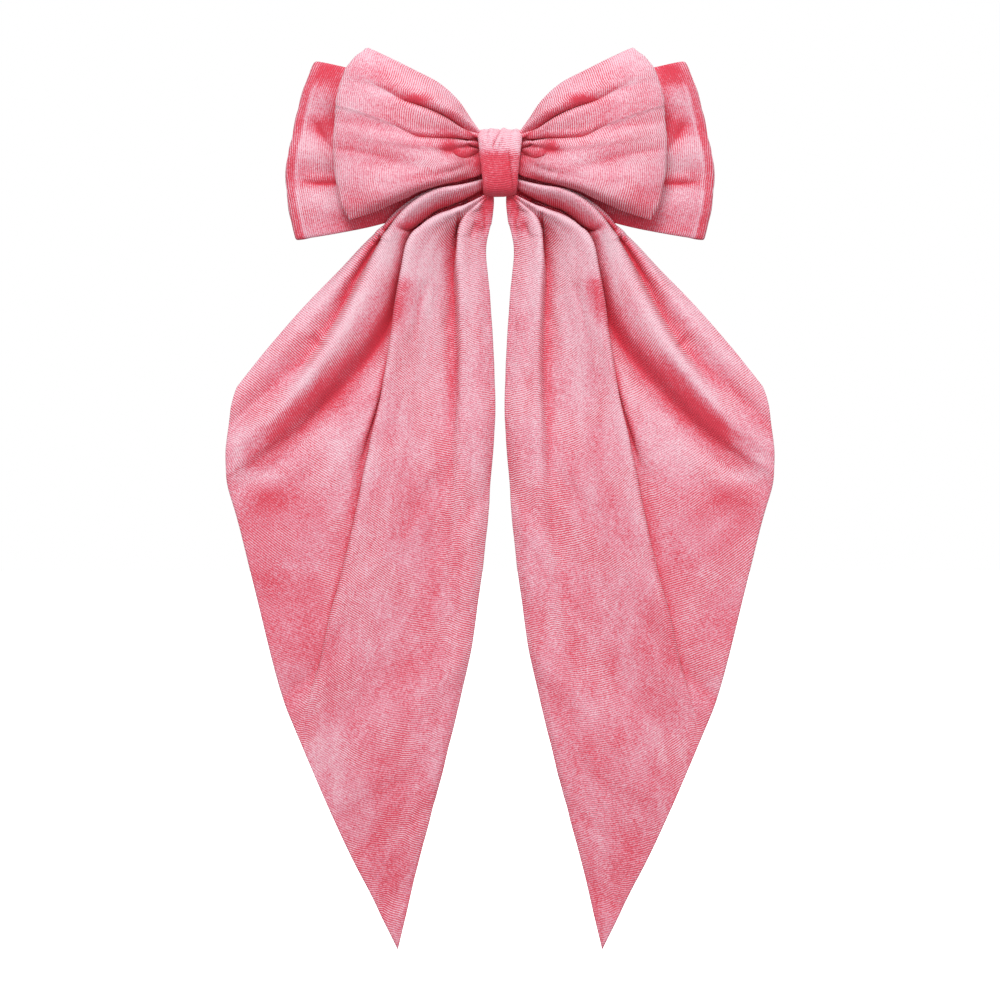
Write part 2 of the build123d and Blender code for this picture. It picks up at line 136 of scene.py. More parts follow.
def columns_between(knots, each, edge=2.0):
    """Column parameters: the same number in each gap between rails, closer together at both outer edges."""
    found = []
    for j in range(len(knots) - 1):
        u = np.arange(each) / each
        if j == 0:
            u = u**edge
        if j == len(knots) - 2:
            u = 1 - (1 - u) ** edge
        found.extend(knots[j] + u * (knots[j + 1] - knots[j]))
    return np.array(found + [1.0])


def loft(rails, rows, each, common):
    """A grid (rows, columns, 3) through rails. rows are shares of the way along them, from 0 to 1.

    All rails start out alike, at the rate of one of the common length. Longer ones stretch towards the end.
    """
    sections = np.stack([r.at(common * rows + (r.length - common) * rows**2) for r in rails])
    gaps = np.linalg.norm(np.diff(sections, axis=0), axis=2).mean(axis=1)
    knots = np.concatenate([[0], np.cumsum(gaps**0.6)])
    knots /= knots[-1]
    return np.swapaxes(spline(sections, knots, columns_between(knots, each)), 0, 1)


def blur(values, times, axis):
    """Repeated three-point smoothing along one axis of a grid, ends held."""
    values = np.array(values, float)
    for _ in range(times):
        a = np.moveaxis(values, axis, 0)
        a[1:-1] = 0.25 * a[:-2] + 0.5 * a[1:-1] + 0.25 * a[2:]
    return values


def normals(grid):
    """Unit normals of a grid, the same side everywhere."""
    across = np.gradient(grid, axis=1)
    along = np.gradient(grid, axis=0)
    n = np.cross(across, along)
    return n / np.maximum(np.linalg.norm(n, axis=2, keepdims=True), 1e-9)


def run_along(grid, axis):
    """Distance along each grid line of one axis, from its start."""
    steps = np.linalg.norm(np.diff(grid, axis=axis), axis=2)
    start = np.zeros_like(np.take(steps, [0], axis=axis))
    return np.concatenate([start, np.cumsum(steps, axis=axis)], axis=axis)


def wander(u, v, size_u, size_v, seed):
    """Smooth seeded noise from -1 to 1 over two coordinates, with hills about size_u by size_v."""
    rng = np.random.default_rng(seed)
    table = rng.uniform(-1, 1, (NOISE_CELLS, NOISE_CELLS))
    a, b = u / size_u, v / size_v
    i, j = np.floor(a).astype(int), np.floor(b).astype(int)
    fu, fv = a - i, b - j
    fu, fv = fu * fu * (3 - 2 * fu), fv * fv * (3 - 2 * fv)
    i0, i1 = i % NOISE_CELLS, (i + 1) % NOISE_CELLS
    j0, j1 = j % NOISE_CELLS, (j + 1) % NOISE_CELLS
    top = table[i0, j0] * (1 - fu) + table[i1, j0] * fu
    low = table[i0, j1] * (1 - fu) + table[i1, j1] * fu
    return top * (1 - fv) + low * fv


def smooth(low, high, x):
    """A smooth step from 0 at low to 1 at high."""
    t = np.clip((x - low) / (high - low), 0, 1)
    return t * t * (3 - 2 * t)


def hollows(grid, n, reach, scale):
    """How far each point lies in a hollow (up to 1) or on a crest (down to -1), on the side n points to."""
    flat = blur(blur(grid, reach, 0), reach, 1)
    return np.clip(np.sum((flat - grid) * n, axis=2) / scale, -1, 1)


def seen(grid):
    """Where a grid's points look to be from the front, in the view plane: the undoing of from_front."""
    nearer = (grid[:, :, 1] - CAMERA_Y) / (VIEW_PLANE_Y - CAMERA_Y)
    return grid[:, :, 0] / nearer, VIEW_MIDDLE_Z + (grid[:, :, 2] - VIEW_MIDDLE_Z) / nearer


def facing_front(grid, rows=slice(None)):
    """The grid, its columns turned round if that is what it takes for its normals to point to the front."""
    return grid[:, ::-1] if normals(grid)[rows, :, 1].mean() > 0 else grid


def furrows(grid, creases):
    """How far each point sinks into narrow creases, and how deeply shaded it is.

    A crease is a line of places, its depth, its width, the height of the lip above it, and how much of its
    far end fades out.
    """
    x, z = seen(grid)
    sink, shade = np.zeros(x.shape), np.zeros(x.shape)
    for line, deep, wide, lip, fade in creases:
        line = np.asarray(line, float)
        knots = chord_knots(line, 1.0)
        path = spline(line, knots, np.linspace(0, 1, CREASE_STEPS))
        gap = np.full(x.shape, 1e9)
        above, share = np.zeros(x.shape), np.zeros(x.shape)
        for i, (px, pz) in enumerate(path):
            there = np.hypot(x - px, z - pz)
            closer = there < gap
            gap[closer] = there[closer]
            above[closer] = (z - pz)[closer]
            share[closer] = i / (CREASE_STEPS - 1)
        strength = smooth(1.0, 1.0 - fade, share) if fade else np.ones(x.shape)
        valley = np.exp(-((gap / wide) ** 2)) * strength
        roll = np.exp(-(((gap - 2.2 * wide) / (1.5 * wide)) ** 2)) * strength * (above > 0)
        sink += deep * valley - lip * roll
        shade += min(1.0, deep / FULLY_SHADED) * valley
    return sink, shade


def strokes(grid, lines):
    """How strongly each point is on one of the (line of places, width, far end's fading) strokes."""
    return furrows(grid, [(line, 1.0, wide, 0.0, fade) for line, wide, fade in lines])[1]


def nap_and_painted_light(grid, patches):
    """How much paler the nap is than usual, as its own mottling and as painted highlights and shade: soft
    ovals (x, z, half width, half height, lift).
    """
    x, z = seen(grid)
    total = np.zeros(x.shape)
    for px, pz, wide, high, lift in patches:
        total += lift * np.exp(-(((x - px) / wide) ** 2) - ((z - pz) / high) ** 2)
    return total


class Ribbon:
    """One piece of velvet before it is a mesh.

    It holds the grid of its middle surface, its half thickness, how deep in a fold each point is (-1 on a
    crest to 1 in a hollow), which paints shade in folds and highlights on crests, how much paler than usual
    the nap is there, with painted highlights and shade among it, and how enclosed each face is, which paints
    shade.
    """

    def __init__(self, name, grid, half, deep, nap, ends=(True, True)):
        self.name, self.grid, self.half, self.ends = name, grid, half, ends
        self.deep = deep
        self.nap = np.broadcast_to(nap, deep.shape)
        self.shade = [np.zeros(deep.shape), np.zeros(deep.shape)]

    def mirrored(self, name):
        turned = (self.grid * [-1, 1, 1])[:, ::-1]
        other = Ribbon(name, turned, self.half[:, ::-1], self.deep[:, ::-1], self.nap[:, ::-1], self.ends)
        other.shade = [shade[:, ::-1] for shade in self.shade]
        return other


def quads(ids):
    """The four-cornered faces of a grid of vertex numbers."""
    return np.stack([ids[:-1, :-1], ids[:-1, 1:], ids[1:, 1:], ids[1:, :-1]], axis=-1).reshape(-1, 4)


def hemisphere(count):
    """Directions spread over the half sphere round +Z, more of them near its pole."""
    i = np.arange(count) + 0.5
    height = np.sqrt(1 - i / count)
    turn = i * math.pi * (3 - math.sqrt(5))
    ring = np.sqrt(1 - height**2)
    return np.stack([ring * np.cos(turn), ring * np.sin(turn), height], axis=1)


def shade_by_neighbours(ribbons, every=4, rays=14, reach=13.0, clear=0.9, fading=0.6):
    """Sets how enclosed, 0 to 1, the faces of each left or middle ribbon are by the folds near them, which
    the velvet paints as shade.

    Rays start clear of the cloth, and a hit as far as their reach counts for less by the share in fading.
    """
    points, faces, start = [], [], 0
    for ribbon in ribbons:
        ids = start + np.arange(ribbon.grid[:, :, 0].size).reshape(ribbon.grid.shape[:2])
        points.append(ribbon.grid.reshape(-1, 3))
        faces.append(quads(ids))
        start += ids.size
    tree = BVHTree.FromPolygons(np.concatenate(points).tolist(), np.concatenate(faces).tolist())
    spread = hemisphere(rays)
    for ribbon in ribbons:
        if ribbon.name.startswith("right"):
            continue
        rows, columns = ribbon.grid.shape[:2]
        some_rows = np.unique(np.append(np.arange(0, rows, every), rows - 1))
        some_columns = np.unique(np.append(np.arange(0, columns, every), columns - 1))
        n_all = normals(ribbon.grid)
        for face, sign in enumerate((1, -1)):
            n = sign * n_all[some_rows][:, some_columns]
            first = np.cross(n, [0.3, 0.2, 0.93])
            first /= np.linalg.norm(first, axis=2, keepdims=True)
            second = np.cross(n, first)
            origin = ribbon.grid[some_rows][:, some_columns] + n * clear
            covered = np.zeros(n.shape[:2])
            for dx, dy, dz in spread:
                way = first * dx + second * dy + n * dz
                for r in range(n.shape[0]):
                    for c in range(n.shape[1]):
                        gone = tree.ray_cast(origin[r, c], way[r, c], reach)[3]
                        if gone is not None:
                            covered[r, c] += 1 - fading * gone / reach
            covered /= rays
            full = np.stack([np.interp(np.arange(rows), some_rows, col) for col in covered.T], axis=1)
            full = np.stack([np.interp(np.arange(columns), some_columns, row) for row in full], axis=0)
            ribbon.shade[face] = full


def velvet_mesh(ribbon):
    """A closed mesh with rounded edges from a ribbon."""
    name, grid, half, ends = ribbon.name, ribbon.grid, ribbon.half, ribbon.ends
    n = normals(grid)
    along, across = run_along(grid, 0), run_along(grid, 1)
    edge = np.minimum(across, across[:, -1:] - across)
    if ends[0]:
        edge = np.minimum(edge, along)
    if ends[1]:
        edge = np.minimum(edge, along[-1:] - along)
    share = np.sqrt(np.clip(1 - (1 - np.clip(edge / EDGE_ROUNDING, 0, 1)) ** 2, 0, 1))
    shift = n * (half * share)[:, :, None]
    rows, columns = grid.shape[:2]
    rim = np.zeros((rows, columns), bool)
    rim[0] = rim[-1] = True
    rim[:, 0] = rim[:, -1] = True
    front = np.arange(rows * columns).reshape(rows, columns)
    back = front.copy()
    back[~rim] = rows * columns + np.arange((~rim).sum())
    rim_points = np.where(rim[:, :, None], grid, grid + shift)
    points = np.concatenate([rim_points.reshape(-1, 3), (grid - shift)[~rim]])

    faces = np.concatenate([quads(front), quads(back)[:, ::-1]])
    mesh = bpy.data.meshes.new(name)
    mesh.from_pydata((points * MM).tolist(), [], faces.tolist())
    wide = np.median(across, axis=0)
    u = np.broadcast_to(wide, (rows, columns))
    uv_grid = np.stack([u, along], axis=-1)
    uv_points = np.concatenate([uv_grid.reshape(-1, 2), uv_grid[~rim] + [BACK_FACE_SHIFT, 0.0]])
    layer = mesh.uv_layers.new(name="cloth")
    corners = np.zeros(len(mesh.loops), np.int32)
    mesh.loops.foreach_get("vertex_index", corners)
    layer.data.foreach_set("uv", (uv_points[corners] * MM).astype(np.float32).ravel())
    # These values paint light and shade into the colour: depth in a fold paints shade and a crest a
    # highlight, and an enclosed face paints shade.
    deep, nap = ribbon.deep, ribbon.nap
    depth = np.concatenate([deep.ravel(), -deep[~rim]])
    shaded = np.concatenate([ribbon.shade[0].ravel(), ribbon.shade[1][~rim]])
    # Painted light from above: the upward tilt of the normal makes up-facing cloth paler and down-facing
    # cloth deeper.
    up = n[:, :, 2]
    lean = np.concatenate([up.ravel(), -up[~rim]])
    turned = 1 - np.abs(n[:, :, 1])
    turned = np.concatenate([turned.ravel(), turned[~rim]])
    nap = np.concatenate([nap.ravel(), nap[~rim]])
    stored = {"hollow": depth, "shaded": shaded, "lean": lean, "turned": turned, "nap_and_painted_light": nap}
    for label, values in stored.items():
        attribute = mesh.attributes.new(label, "FLOAT", "POINT")
        attribute.data.foreach_set("value", values.astype(np.float32))
    mesh.shade_smooth()
    mesh.validate()
    thing = bpy.data.objects.new(name, mesh)
    bpy.context.scene.collection.objects.link(thing)
    return thing


# ------------------------------------------------------------------ materials


class Nodes:
    """Short helpers for building one material's nodes."""

    def __init__(self, name):
        self.material = bpy.data.materials.new(name)
        self.material.use_nodes = True
        self.tree = self.material.node_tree
        self.tree.nodes.clear()
        self.shader = self.tree.nodes.new("ShaderNodeBsdfPrincipled")
        out = self.tree.nodes.new("ShaderNodeOutputMaterial")
        self.link(self.shader.outputs[0], out.inputs["Surface"])

    def link(self, a, b):
        self.tree.links.new(a, b)

    def put(self, socket, value):
        if isinstance(value, bpy.types.NodeSocket):
            self.link(value, socket)
        else:
            socket.default_value = value

    def node(self, kind, **settings):
        made = self.tree.nodes.new(kind)
        for key, value in settings.items():
            setattr(made, key, value)
        return made

    def math(self, operation, a, b=0.0):
        made = self.node("ShaderNodeMath", operation=operation)
        self.put(made.inputs[0], a)
        self.put(made.inputs[1], b)
        return made.outputs[0]

    def mix(self, factor, a, b):
        made = self.node("ShaderNodeMix", data_type="RGBA")
        # Sockets 6 and 7, and output 2, are the ones for colours.
        self.put(made.inputs["Factor"], factor)
        self.put(made.inputs[6], a)
        self.put(made.inputs[7], b)
        return made.outputs[2]

    def noise(self, scale, detail=2.0, roughness=0.5, vector=None):
        made = self.node("ShaderNodeTexNoise")
        made.inputs["Scale"].default_value = scale
        made.inputs["Detail"].default_value = detail
        made.inputs["Roughness"].default_value = roughness
        self.link(vector or self.position(), made.inputs["Vector"])
        return made.outputs["Fac"]

    def position(self):
        return self.node("ShaderNodeTexCoord").outputs["Object"]

    def span(self, value, low, high, to_low=0.0, to_high=1.0):
        made = self.node("ShaderNodeMapRange", interpolation_type="SMOOTHSTEP")
        for socket, number in zip(made.inputs[:5], (value, low, high, to_low, to_high)):
            self.put(socket, number)
        return made.outputs[0]

    def bump(self, height, distance, strength, under=None):
        made = self.node("ShaderNodeBump")
        made.inputs["Strength"].default_value = strength
        made.inputs["Distance"].default_value = distance
        self.link(height, made.inputs["Height"])
        if under is not None:
            self.link(under, made.inputs["Normal"])
        return made.outputs["Normal"]


# From the colour painted as shade at the bottom of a fold to the one painted as a highlight where the nap
# catches the light; the nap's own mottling moves along it too.
PILE_SHADE_TO_HIGHLIGHT_TONES = (
    (0.0, (0.71, 0.055, 0.090, 1)),
    (0.25, (0.75, 0.115, 0.165, 1)),
    (0.5, (0.80, 0.26, 0.345, 1)),
    (0.75, (0.84, 0.395, 0.485, 1)),
    (1.0, (0.90, 0.575, 0.655, 1)),
)
RIB_PITCH, RIB_WOBBLE = 0.73, 0.9


def velvet(name):
    """Ribbed stretch velvet: ribs across the ribbon, a streaked, mottled nap, painted shade in the folds and
    painted highlights on the crests.
    """
    n = Nodes(name)
    uv = n.node("ShaderNodeUVMap", uv_map="cloth").outputs[0]
    split = n.node("ShaderNodeSeparateXYZ")
    n.link(uv, split.inputs[0])
    wobble = n.math("MULTIPLY", n.noise(60.0, 2.0), RIB_WOBBLE * MM)
    phase = n.math("MULTIPLY", n.math("ADD", split.outputs[1], wobble), 2 * math.pi / (RIB_PITCH * MM))
    rib = n.math("SINE", phase)

    def stored(label):
        return n.node("ShaderNodeAttribute", attribute_name=label).outputs["Fac"]

    hollow, turned = stored("hollow"), stored("turned")
    streaked = n.node("ShaderNodeMapping")
    streaked.inputs["Scale"].default_value = (1.0, 0.4, 1.0)
    n.link(uv, streaked.inputs["Vector"])
    broad = n.noise(38.0, 3.0, 0.55, streaked.outputs[0])
    patch = n.noise(150.0, 5.0, 0.7, streaked.outputs[0])
    grain = n.noise(1600.0, 3.0, 0.8)
    combed = n.math("ADD", n.span(n.noise(55.0, 2.0), 0.42, 0.64, 0.24, 0.72), turned)
    tone = n.math("ADD", 0.545, stored("nap_and_painted_light"))
    # Painted light and shade go into the tone along with the nap's mottling: lean pales up-facing cloth and
    # deepens down-facing cloth as if lit from above, hollow paints shade in folds and highlights on crests,
    # shaded paints shade where nearby folds enclose the cloth, and the stored nap value holds painted
    # highlights and shade as well.
    for value, weight, centre in (
        (broad, 0.5, 0.5),
        (patch, 0.8, 0.5),
        (grain, 1.8, 0.5),
        (stored("lean"), 0.38, 0.0),
        (n.math("MAXIMUM", hollow, 0.0), -0.45, 0.0),
        (n.math("MINIMUM", hollow, 0.0), -0.22, 0.0),
        (stored("shaded"), -1.05, 0.0),
        (n.math("MULTIPLY", rib, combed), 0.56, 0.0),
    ):
        tone = n.math("ADD", tone, n.math("MULTIPLY", n.math("SUBTRACT", value, centre), weight))
    ramp = n.node("ShaderNodeValToRGB")
    stops = ramp.color_ramp.elements
    while len(stops) < len(PILE_SHADE_TO_HIGHLIGHT_TONES):
        stops.new(0.5)
    for stop, (place, colour) in zip(stops, PILE_SHADE_TO_HIGHLIGHT_TONES):
        stop.position = place
        stop.color = colour
    n.link(tone, ramp.inputs[0])
    s = n.shader
    n.link(ramp.outputs[0], s.inputs["Base Color"])
    s.inputs["Roughness"].default_value = 0.75
    s.inputs["Specular IOR Level"].default_value = 0.2
    s.inputs["Sheen Weight"].default_value = 0.22
    s.inputs["Sheen Roughness"].default_value = 0.35
    s.inputs["Sheen Tint"].default_value = (1.0, 0.78, 0.84, 1)
    pile = n.bump(grain, 0.15 * MM, 0.5)
    n.link(n.bump(rib, 0.10 * MM, 0.8, pile), s.inputs["Normal"])
    return n.material


def nickel(name, tone, roughness, streak):
    """Nickel-plated steel: drawn streaks along X, fine scuffs and dulled patches."""
    n = Nodes(name)
    stretch = n.node("ShaderNodeMapping")
    stretch.inputs["Scale"].default_value = (0.05, 1.0, 1.0)
    n.link(n.position(), stretch.inputs["Vector"])
    drawn = n.noise(streak, 4.0, 0.6, stretch.outputs[0])
    dull = n.noise(220.0, 4.0, 0.6)
    scuff = n.noise(1600.0, 3.0, 0.7)
    wear = n.span(dull, 0.45, 0.72)
    n.link(n.mix(wear, tone, tuple(c * 0.78 for c in tone[:3]) + (1,)), n.shader.inputs["Base Color"])
    rough = n.math("ADD", n.math("MULTIPLY", wear, 0.18), n.math("MULTIPLY", scuff, 0.12))
    n.link(n.math("ADD", rough, roughness), n.shader.inputs["Roughness"])
    n.shader.inputs["Metallic"].default_value = 1.0
    n.shader.inputs["Anisotropic"].default_value = 0.4
    fine = n.bump(scuff, 0.01 * MM, 0.25)
    n.link(n.bump(drawn, 0.02 * MM, 0.35, fine), n.shader.inputs["Normal"])
    return n.material


def thread(name):
    """Twisted sewing thread."""
    n = Nodes(name)
    fibre = n.noise(5200.0, 3.0, 0.7)
    n.link(n.mix(fibre, (0.42, 0.05, 0.09, 1), (0.80, 0.30, 0.38, 1)), n.shader.inputs["Base Color"])
    n.shader.inputs["Roughness"].default_value = 0.6
    n.shader.inputs["Sheen Weight"].default_value = 0.3
    n.link(n.bump(fibre, 0.04 * MM, 0.6), n.shader.inputs["Normal"])
    return n.material


def hot_glue(name):
    """Set hot-melt glue, waxy and faintly cloudy."""
    n = Nodes(name)
    cloud = n.noise(380.0, 3.0, 0.6)
    n.link(n.mix(cloud, (0.78, 0.71, 0.55, 1), (0.92, 0.89, 0.80, 1)), n.shader.inputs["Base Color"])
    n.shader.inputs["Roughness"].default_value = 0.32
    n.shader.inputs["Subsurface Weight"].default_value = 0.4
    n.shader.inputs["Subsurface Radius"].default_value = (0.002, 0.0018, 0.0012)
    n.link(n.bump(n.noise(900.0, 2.0), 0.08 * MM, 0.4), n.shader.inputs["Normal"])
    return n.material


def pale(name, strength):
    """The studio's plain floor."""
    n = Nodes(name)
    n.shader.inputs["Base Color"].default_value = (0.9, 0.9, 0.9, 1)
    n.shader.inputs["Roughness"].default_value = 0.9
    n.shader.inputs["Emission Color"].default_value = (1, 1, 1, 1)
    n.shader.inputs["Emission Strength"].default_value = strength
    return n.material


# ------------------------------------------------------------------ tails

# Each rail runs from inside the knot to the slanted hem: its places, and how far the cloth stands in front of
# the tail's middle surface: in the rolls under the bow, below them, half-way and at the hem.
TAIL_RAILS = [
    # outer edge, tucked behind the first roll
    ([(-4, -5), (-12.6, -7.2), (-22, -9.6), (-31, -14.4), (-38.5, -21), (-62, -44), (-76, -60),
     (-87.3, -74.4)], (1.0, -2.0, -1.5, -0.3)),
    # outer panel
    ([(-4.3, -5.4), (-12.6, -7.6), (-22, -9.2), (-31.4, -14.4), (-38.6, -21.6), (-57, -44.6), (-71, -60.8),
     (-89.2, -80.3)], (5.0, 1.0, 1.4, 0.6)),
    # shallow crease beside the ridge
    ([(-4.6, -5.8), (-13.3, -7.6), (-22, -9.8), (-30.4, -14.6), (-37.2, -22.2), (-47.6, -39.2), (-62, -62),
     (-90.2, -88)], (3.2, -1.4, -1.2, 0.0)),
    # first ridge, the crest of the upper roll
    ([(-4.6, -5.6), (-13, -7.8), (-20.6, -9.2), (-26.6, -12.2), (-32, -16.8), (-37.2, -24), (-45.2, -41),
     (-53, -56), (-63.5, -70.6), (-74, -82.6), (-91, -96.4)], (8.8, 4.4, 3.8, 0.8)),
    # slope under the ridge
    ([(-4.6, -7.6), (-13.4, -10.8), (-20.6, -12.8), (-26.4, -16.2), (-31, -20.4), (-34.8, -30), (-40, -48.5),
     (-50, -63.5), (-61, -76.4), (-72.6, -88), (-91, -101.4)], (5.6, 2.7, 1.4, 0.9)),
    # the deep valley
    ([(-4.3, -9.4), (-13.3, -13.4), (-20.9, -16.2), (-25.6, -19.4), (-29.4, -23.4), (-31.6, -37),
     (-38, -56.4), (-46, -68.8), (-57.2, -81.6), (-68, -91.8), (-78, -99.6),
     (-90.3, -108)], (-2.6, -2.4, -3.4, 0.8)),
    # the soft ridge beyond the valley
    ([(-4.3, -9.8), (-13, -13.9), (-20.4, -16.7), (-24.8, -19.8), (-28.4, -23.9), (-31, -40), (-37.6, -65),
      (-44.4, -79.5), (-56.5, -94), (-70, -106.5), (-87.2, -118.5)], (-2.4, -2.2, 0.2, 0.6)),
    # into the shade of the overlap
    ([(-4, -10), (-12.8, -14.1), (-20.2, -16.9), (-24.6, -20.2), (-28, -24.6), (-31.2, -42), (-40.5, -78.7),
      (-49.8, -118.5), (-59.4, -151), (-72.4, -177)], (-2.4, -2.4, -0.9, -0.2)),
    # under the overlap
    ([(-4, -10.2), (-12.6, -14.4), (-20, -17.4), (-24.4, -20.9), (-27.8, -25.8), (-29.6, -38.8), (-33.4, -62),
      (-39, -88.6), (-47.4, -125), (-57, -156), (-68.6, -187)], (-2.0, -2.4, -1.1, -0.2)),
    # lip of the overlap, the crest of the lower roll
    ([(-4.6, -10.4), (-13.2, -14.8), (-20.6, -17.6), (-26.4, -20.9), (-30.2, -26), (-32.1, -36),
     (-35.9, -60.8), (-41.2, -86), (-48.4, -123.5), (-56.4, -155), (-65.4, -194.6)], (7.0, 4.0, 2.4, 0.3)),
    # broad panel, left
    ([(-4.3, -11), (-12.3, -16.4), (-18.8, -20.6), (-24, -26.4), (-27.2, -43.8), (-31.5, -77),
     (-38.5, -118.5), (-58.1, -211.5)], (5.6, 2.8, 2.6, 0.6)),
    # broad panel, middle
    ([(-4, -11.4), (-10.6, -17), (-15.8, -22.6), (-19.4, -32), (-20.8, -54), (-24.2, -95), (-34.2, -158.4),
      (-49.8, -229.7)], (1.6, 0.8, 1.0, 0.4)),
    # second valley
    ([(-3.7, -11.4), (-8.6, -15.2), (-12.3, -20), (-14.6, -28), (-15.1, -45.5), (-15.3, -82), (-20.9, -138.4),
      (-43.2, -242.4)], (-2.0, -1.3, -0.2, 0.0)),
    # second lip
    ([(-3.3, -10.6), (-7.8, -14.2), (-11.6, -17.6), (-13.7, -25), (-13.4, -40), (-12.3, -68.7), (-14, -122),
      (-27.6, -201.5), (-40.2, -248.7)], (4.4, 2.0, 0.7, 0.3)),
    # inner panel
    ([(-3, -10), (-5.6, -13.6), (-8, -17.4), (-9.4, -26), (-8.4, -42.2), (-6.8, -82), (-9.6, -135),
     (-22.9, -208), (-36.9, -255.3)], (2.6, 1.6, 0.4, 0.4)),
    # inner edge
    ([(-2.2, -9), (-2, -13.3), (-2.6, -18.3), (-4.6, -28), (-3.5, -43.2), (-2, -70), (-3, -104.6),
     (-10, -161.7), (-21.6, -209.8), (-33.9, -261.3)], (-0.6, -2.0, -1.4, 0.0)),
]
TAIL_GATHER_Y = -13.5
TAIL_MIDDLE_Y = -12.8
TAIL_ROWS, TAIL_EACH = 250, 11
TAIL_COMMON = 95.0
HEM_GAPS = (0.0028, 0.0017, 0.0009, 0.0003, 0.0)
CLOTH_HALF, GATHERED_SHARE = 0.75, 0.35
TAIL_CREASES = [
    ([(-5, -9.2), (-11, -12.4), (-15.6, -14.4), (-20.9, -16.2), (-24.6, -18.7), (-27.7, -21.2),
     (-30.8, -22.4), (-33.4, -21.4), (-35, -19.4)], 1.0, 0.8, 0.3, 0.2),
    ([(-13.9, -17.0), (-14.3, -21), (-14.6, -28), (-14.9, -40)], 0.8, 0.7, 0.2, 0.6),
    ([(-8.4, -21), (-9.6, -23.6), (-8.8, -27)], 0.5, 0.9, 0.3, 0.5),
    ([(-6, -15.6), (-5.2, -20.6), (-6.2, -25.6)], 0.5, 0.8, 0.3, 0.5),
    ([(-25, -41), (-27.6, -52), (-31.6, -66)], 0.25, 1.4, 0.1, 0.6),
    ([(-40.6, -25.5), (-47, -35.5), (-55, -47)], 0.5, 1.1, 0.3, 0.6),
    ([(-62, -58), (-59.6, -60.4), (-56.6, -61.4)], 0.35, 1.2, 0.2, 0.5),
    ([(-17, -60), (-16.4, -80), (-17.6, -104)], 0.25, 1.4, 0.1, 0.6),
]
# Crests painted paler, as highlights where they catch the light.
TAIL_CRESTS = [
    ([(-7, -4.8), (-13.3, -8.0), (-18.6, -9.3), (-23.2, -10.4), (-26.6, -12.3), (-30.3, -15.2),
     (-34.2, -18.9), (-38, -24.6)], 1.2, 0.3),
    ([(-26, -9.8), (-31, -12.2), (-35.4, -15.8), (-39.4, -21.5)], 0.8, 0.5),
    ([(-7, -12), (-13.3, -15.8), (-18.6, -18.1), (-23.9, -20.0), (-27.7, -22.7), (-30.4, -26.4),
     (-31.6, -34)], 1.3, 0.4),
    ([(-7.3, -14.8), (-11, -17.9), (-12.8, -21), (-12.7, -34)], 1.2, 0.4),
    ([(-35.5, -24), (-39, -31), (-44.4, -41), (-51.5, -55.6), (-63.1, -70.6), (-73.6, -82.4),
     (-83, -93.6)], 1.5, 0.2),
]
# The flank of the long ridge, painted in shade, which ends in a pocket near the outer edge.
TAIL_FLANK = ([(-32.6, -41), (-35.8, -50), (-41.5, -58.4), (-49.2, -65.4), (-59.9, -76.5), (-71.5, -87),
               (-79.4, -95.2)], 3.5, 0.15)
# Painted light and shade with the nap's own mottling: paler high up where the nap catches the light, deeper
# towards the tip, painted shade under the rolls and beside the knot, and a painted highlight on the curled
# rim near the outer edge.
TAIL_PATCHES = [
    (-22, -32, 10, 22, 0.27), (-33, -30, 5, 10, 0.14), (-10, -34, 4, 16, 0.20), (-27, -70, 7, 30, 0.16),
    (-58, -52, 8, 9, 0.10), (-55, -96, 12, 10, 0.14), (-36, -140, 8, 24, 0.06), (-60, -158, 9, 22, -0.14),
    (-56, -192, 6, 8, 0.14), (-32, -212, 10, 20, -0.08), (-80, -118, 8, 22, -0.12), (-12, -96, 6, 26, 0.06),
    (-38, -238, 6, 10, -0.10), (-7.5, -20.5, 2.2, 3.0, -0.35), (-4.2, -13, 2.2, 4.5, -0.55),
    (-81.5, -104, 8, 2.8, 0.34), (-86.6, -97.5, 2.6, 6.0, 0.24), (-76, -111.5, 8, 3.6, -0.22),
    (-31, -20.6, 3.4, 1.5, -0.5),
    (-36.4, -31, 4.4, 8.0, 0.18), (-18, -12.6, 10, 4.0, 0.16), (-66, -117, 15, 12, -0.12),
]


def thinned(spread):
    """Half the thickness of velvet, which is squeezed where spread is 0 and free where it is 1."""
    return CLOTH_HALF * (GATHERED_SHARE + (1 - GATHERED_SHARE) * spread)


def tail_rail(places, proud):
    """One XYZ rail of the left tail: its depth grows out of the gather, and dies away towards the hem."""
    places = np.array(places, float)
    run = np.concatenate([[0], np.cumsum(np.linalg.norm(np.diff(places, axis=0), axis=1))])
    rolls, below, middle, hem = proud
    stations = [0, 9, 27, 46, 0.5 * run[-1] + 20, run[-1]]
    out = np.interp(run, stations, [0.3 * rolls, rolls, rolls, below, middle, hem])
    y = np.interp(run, [0, 20, run[-1]], [TAIL_GATHER_Y, TAIL_MIDDLE_Y, TAIL_MIDDLE_Y]) - out
    return Rail(from_front(places, y))


def tail_grid():
    """The middle surface of the left tail, with its rows closer together at the hem."""
    rails = [tail_rail(*r) for r in TAIL_RAILS]
    hem = 1 - np.array(HEM_GAPS)
    rows = np.concatenate([np.linspace(0, 0.996, TAIL_ROWS - len(hem)), hem])
    grid = loft(rails, rows, TAIL_EACH, TAIL_COMMON)
    n = normals(grid)
    along, across = run_along(grid, 0), run_along(grid, 1)
    loose = smooth(8, 40, along)
    coarse = 0.35 * wander(across, along, 7.0, 34.0, seed=3)
    fine = 0.12 * wander(across, along, 3.2, 15.0, seed=4)
    sway = 0.8 * wander(across, along, 24.0, 60.0, seed=5)
    return grid + n * ((coarse + fine + sway) * loose)[:, :, None]


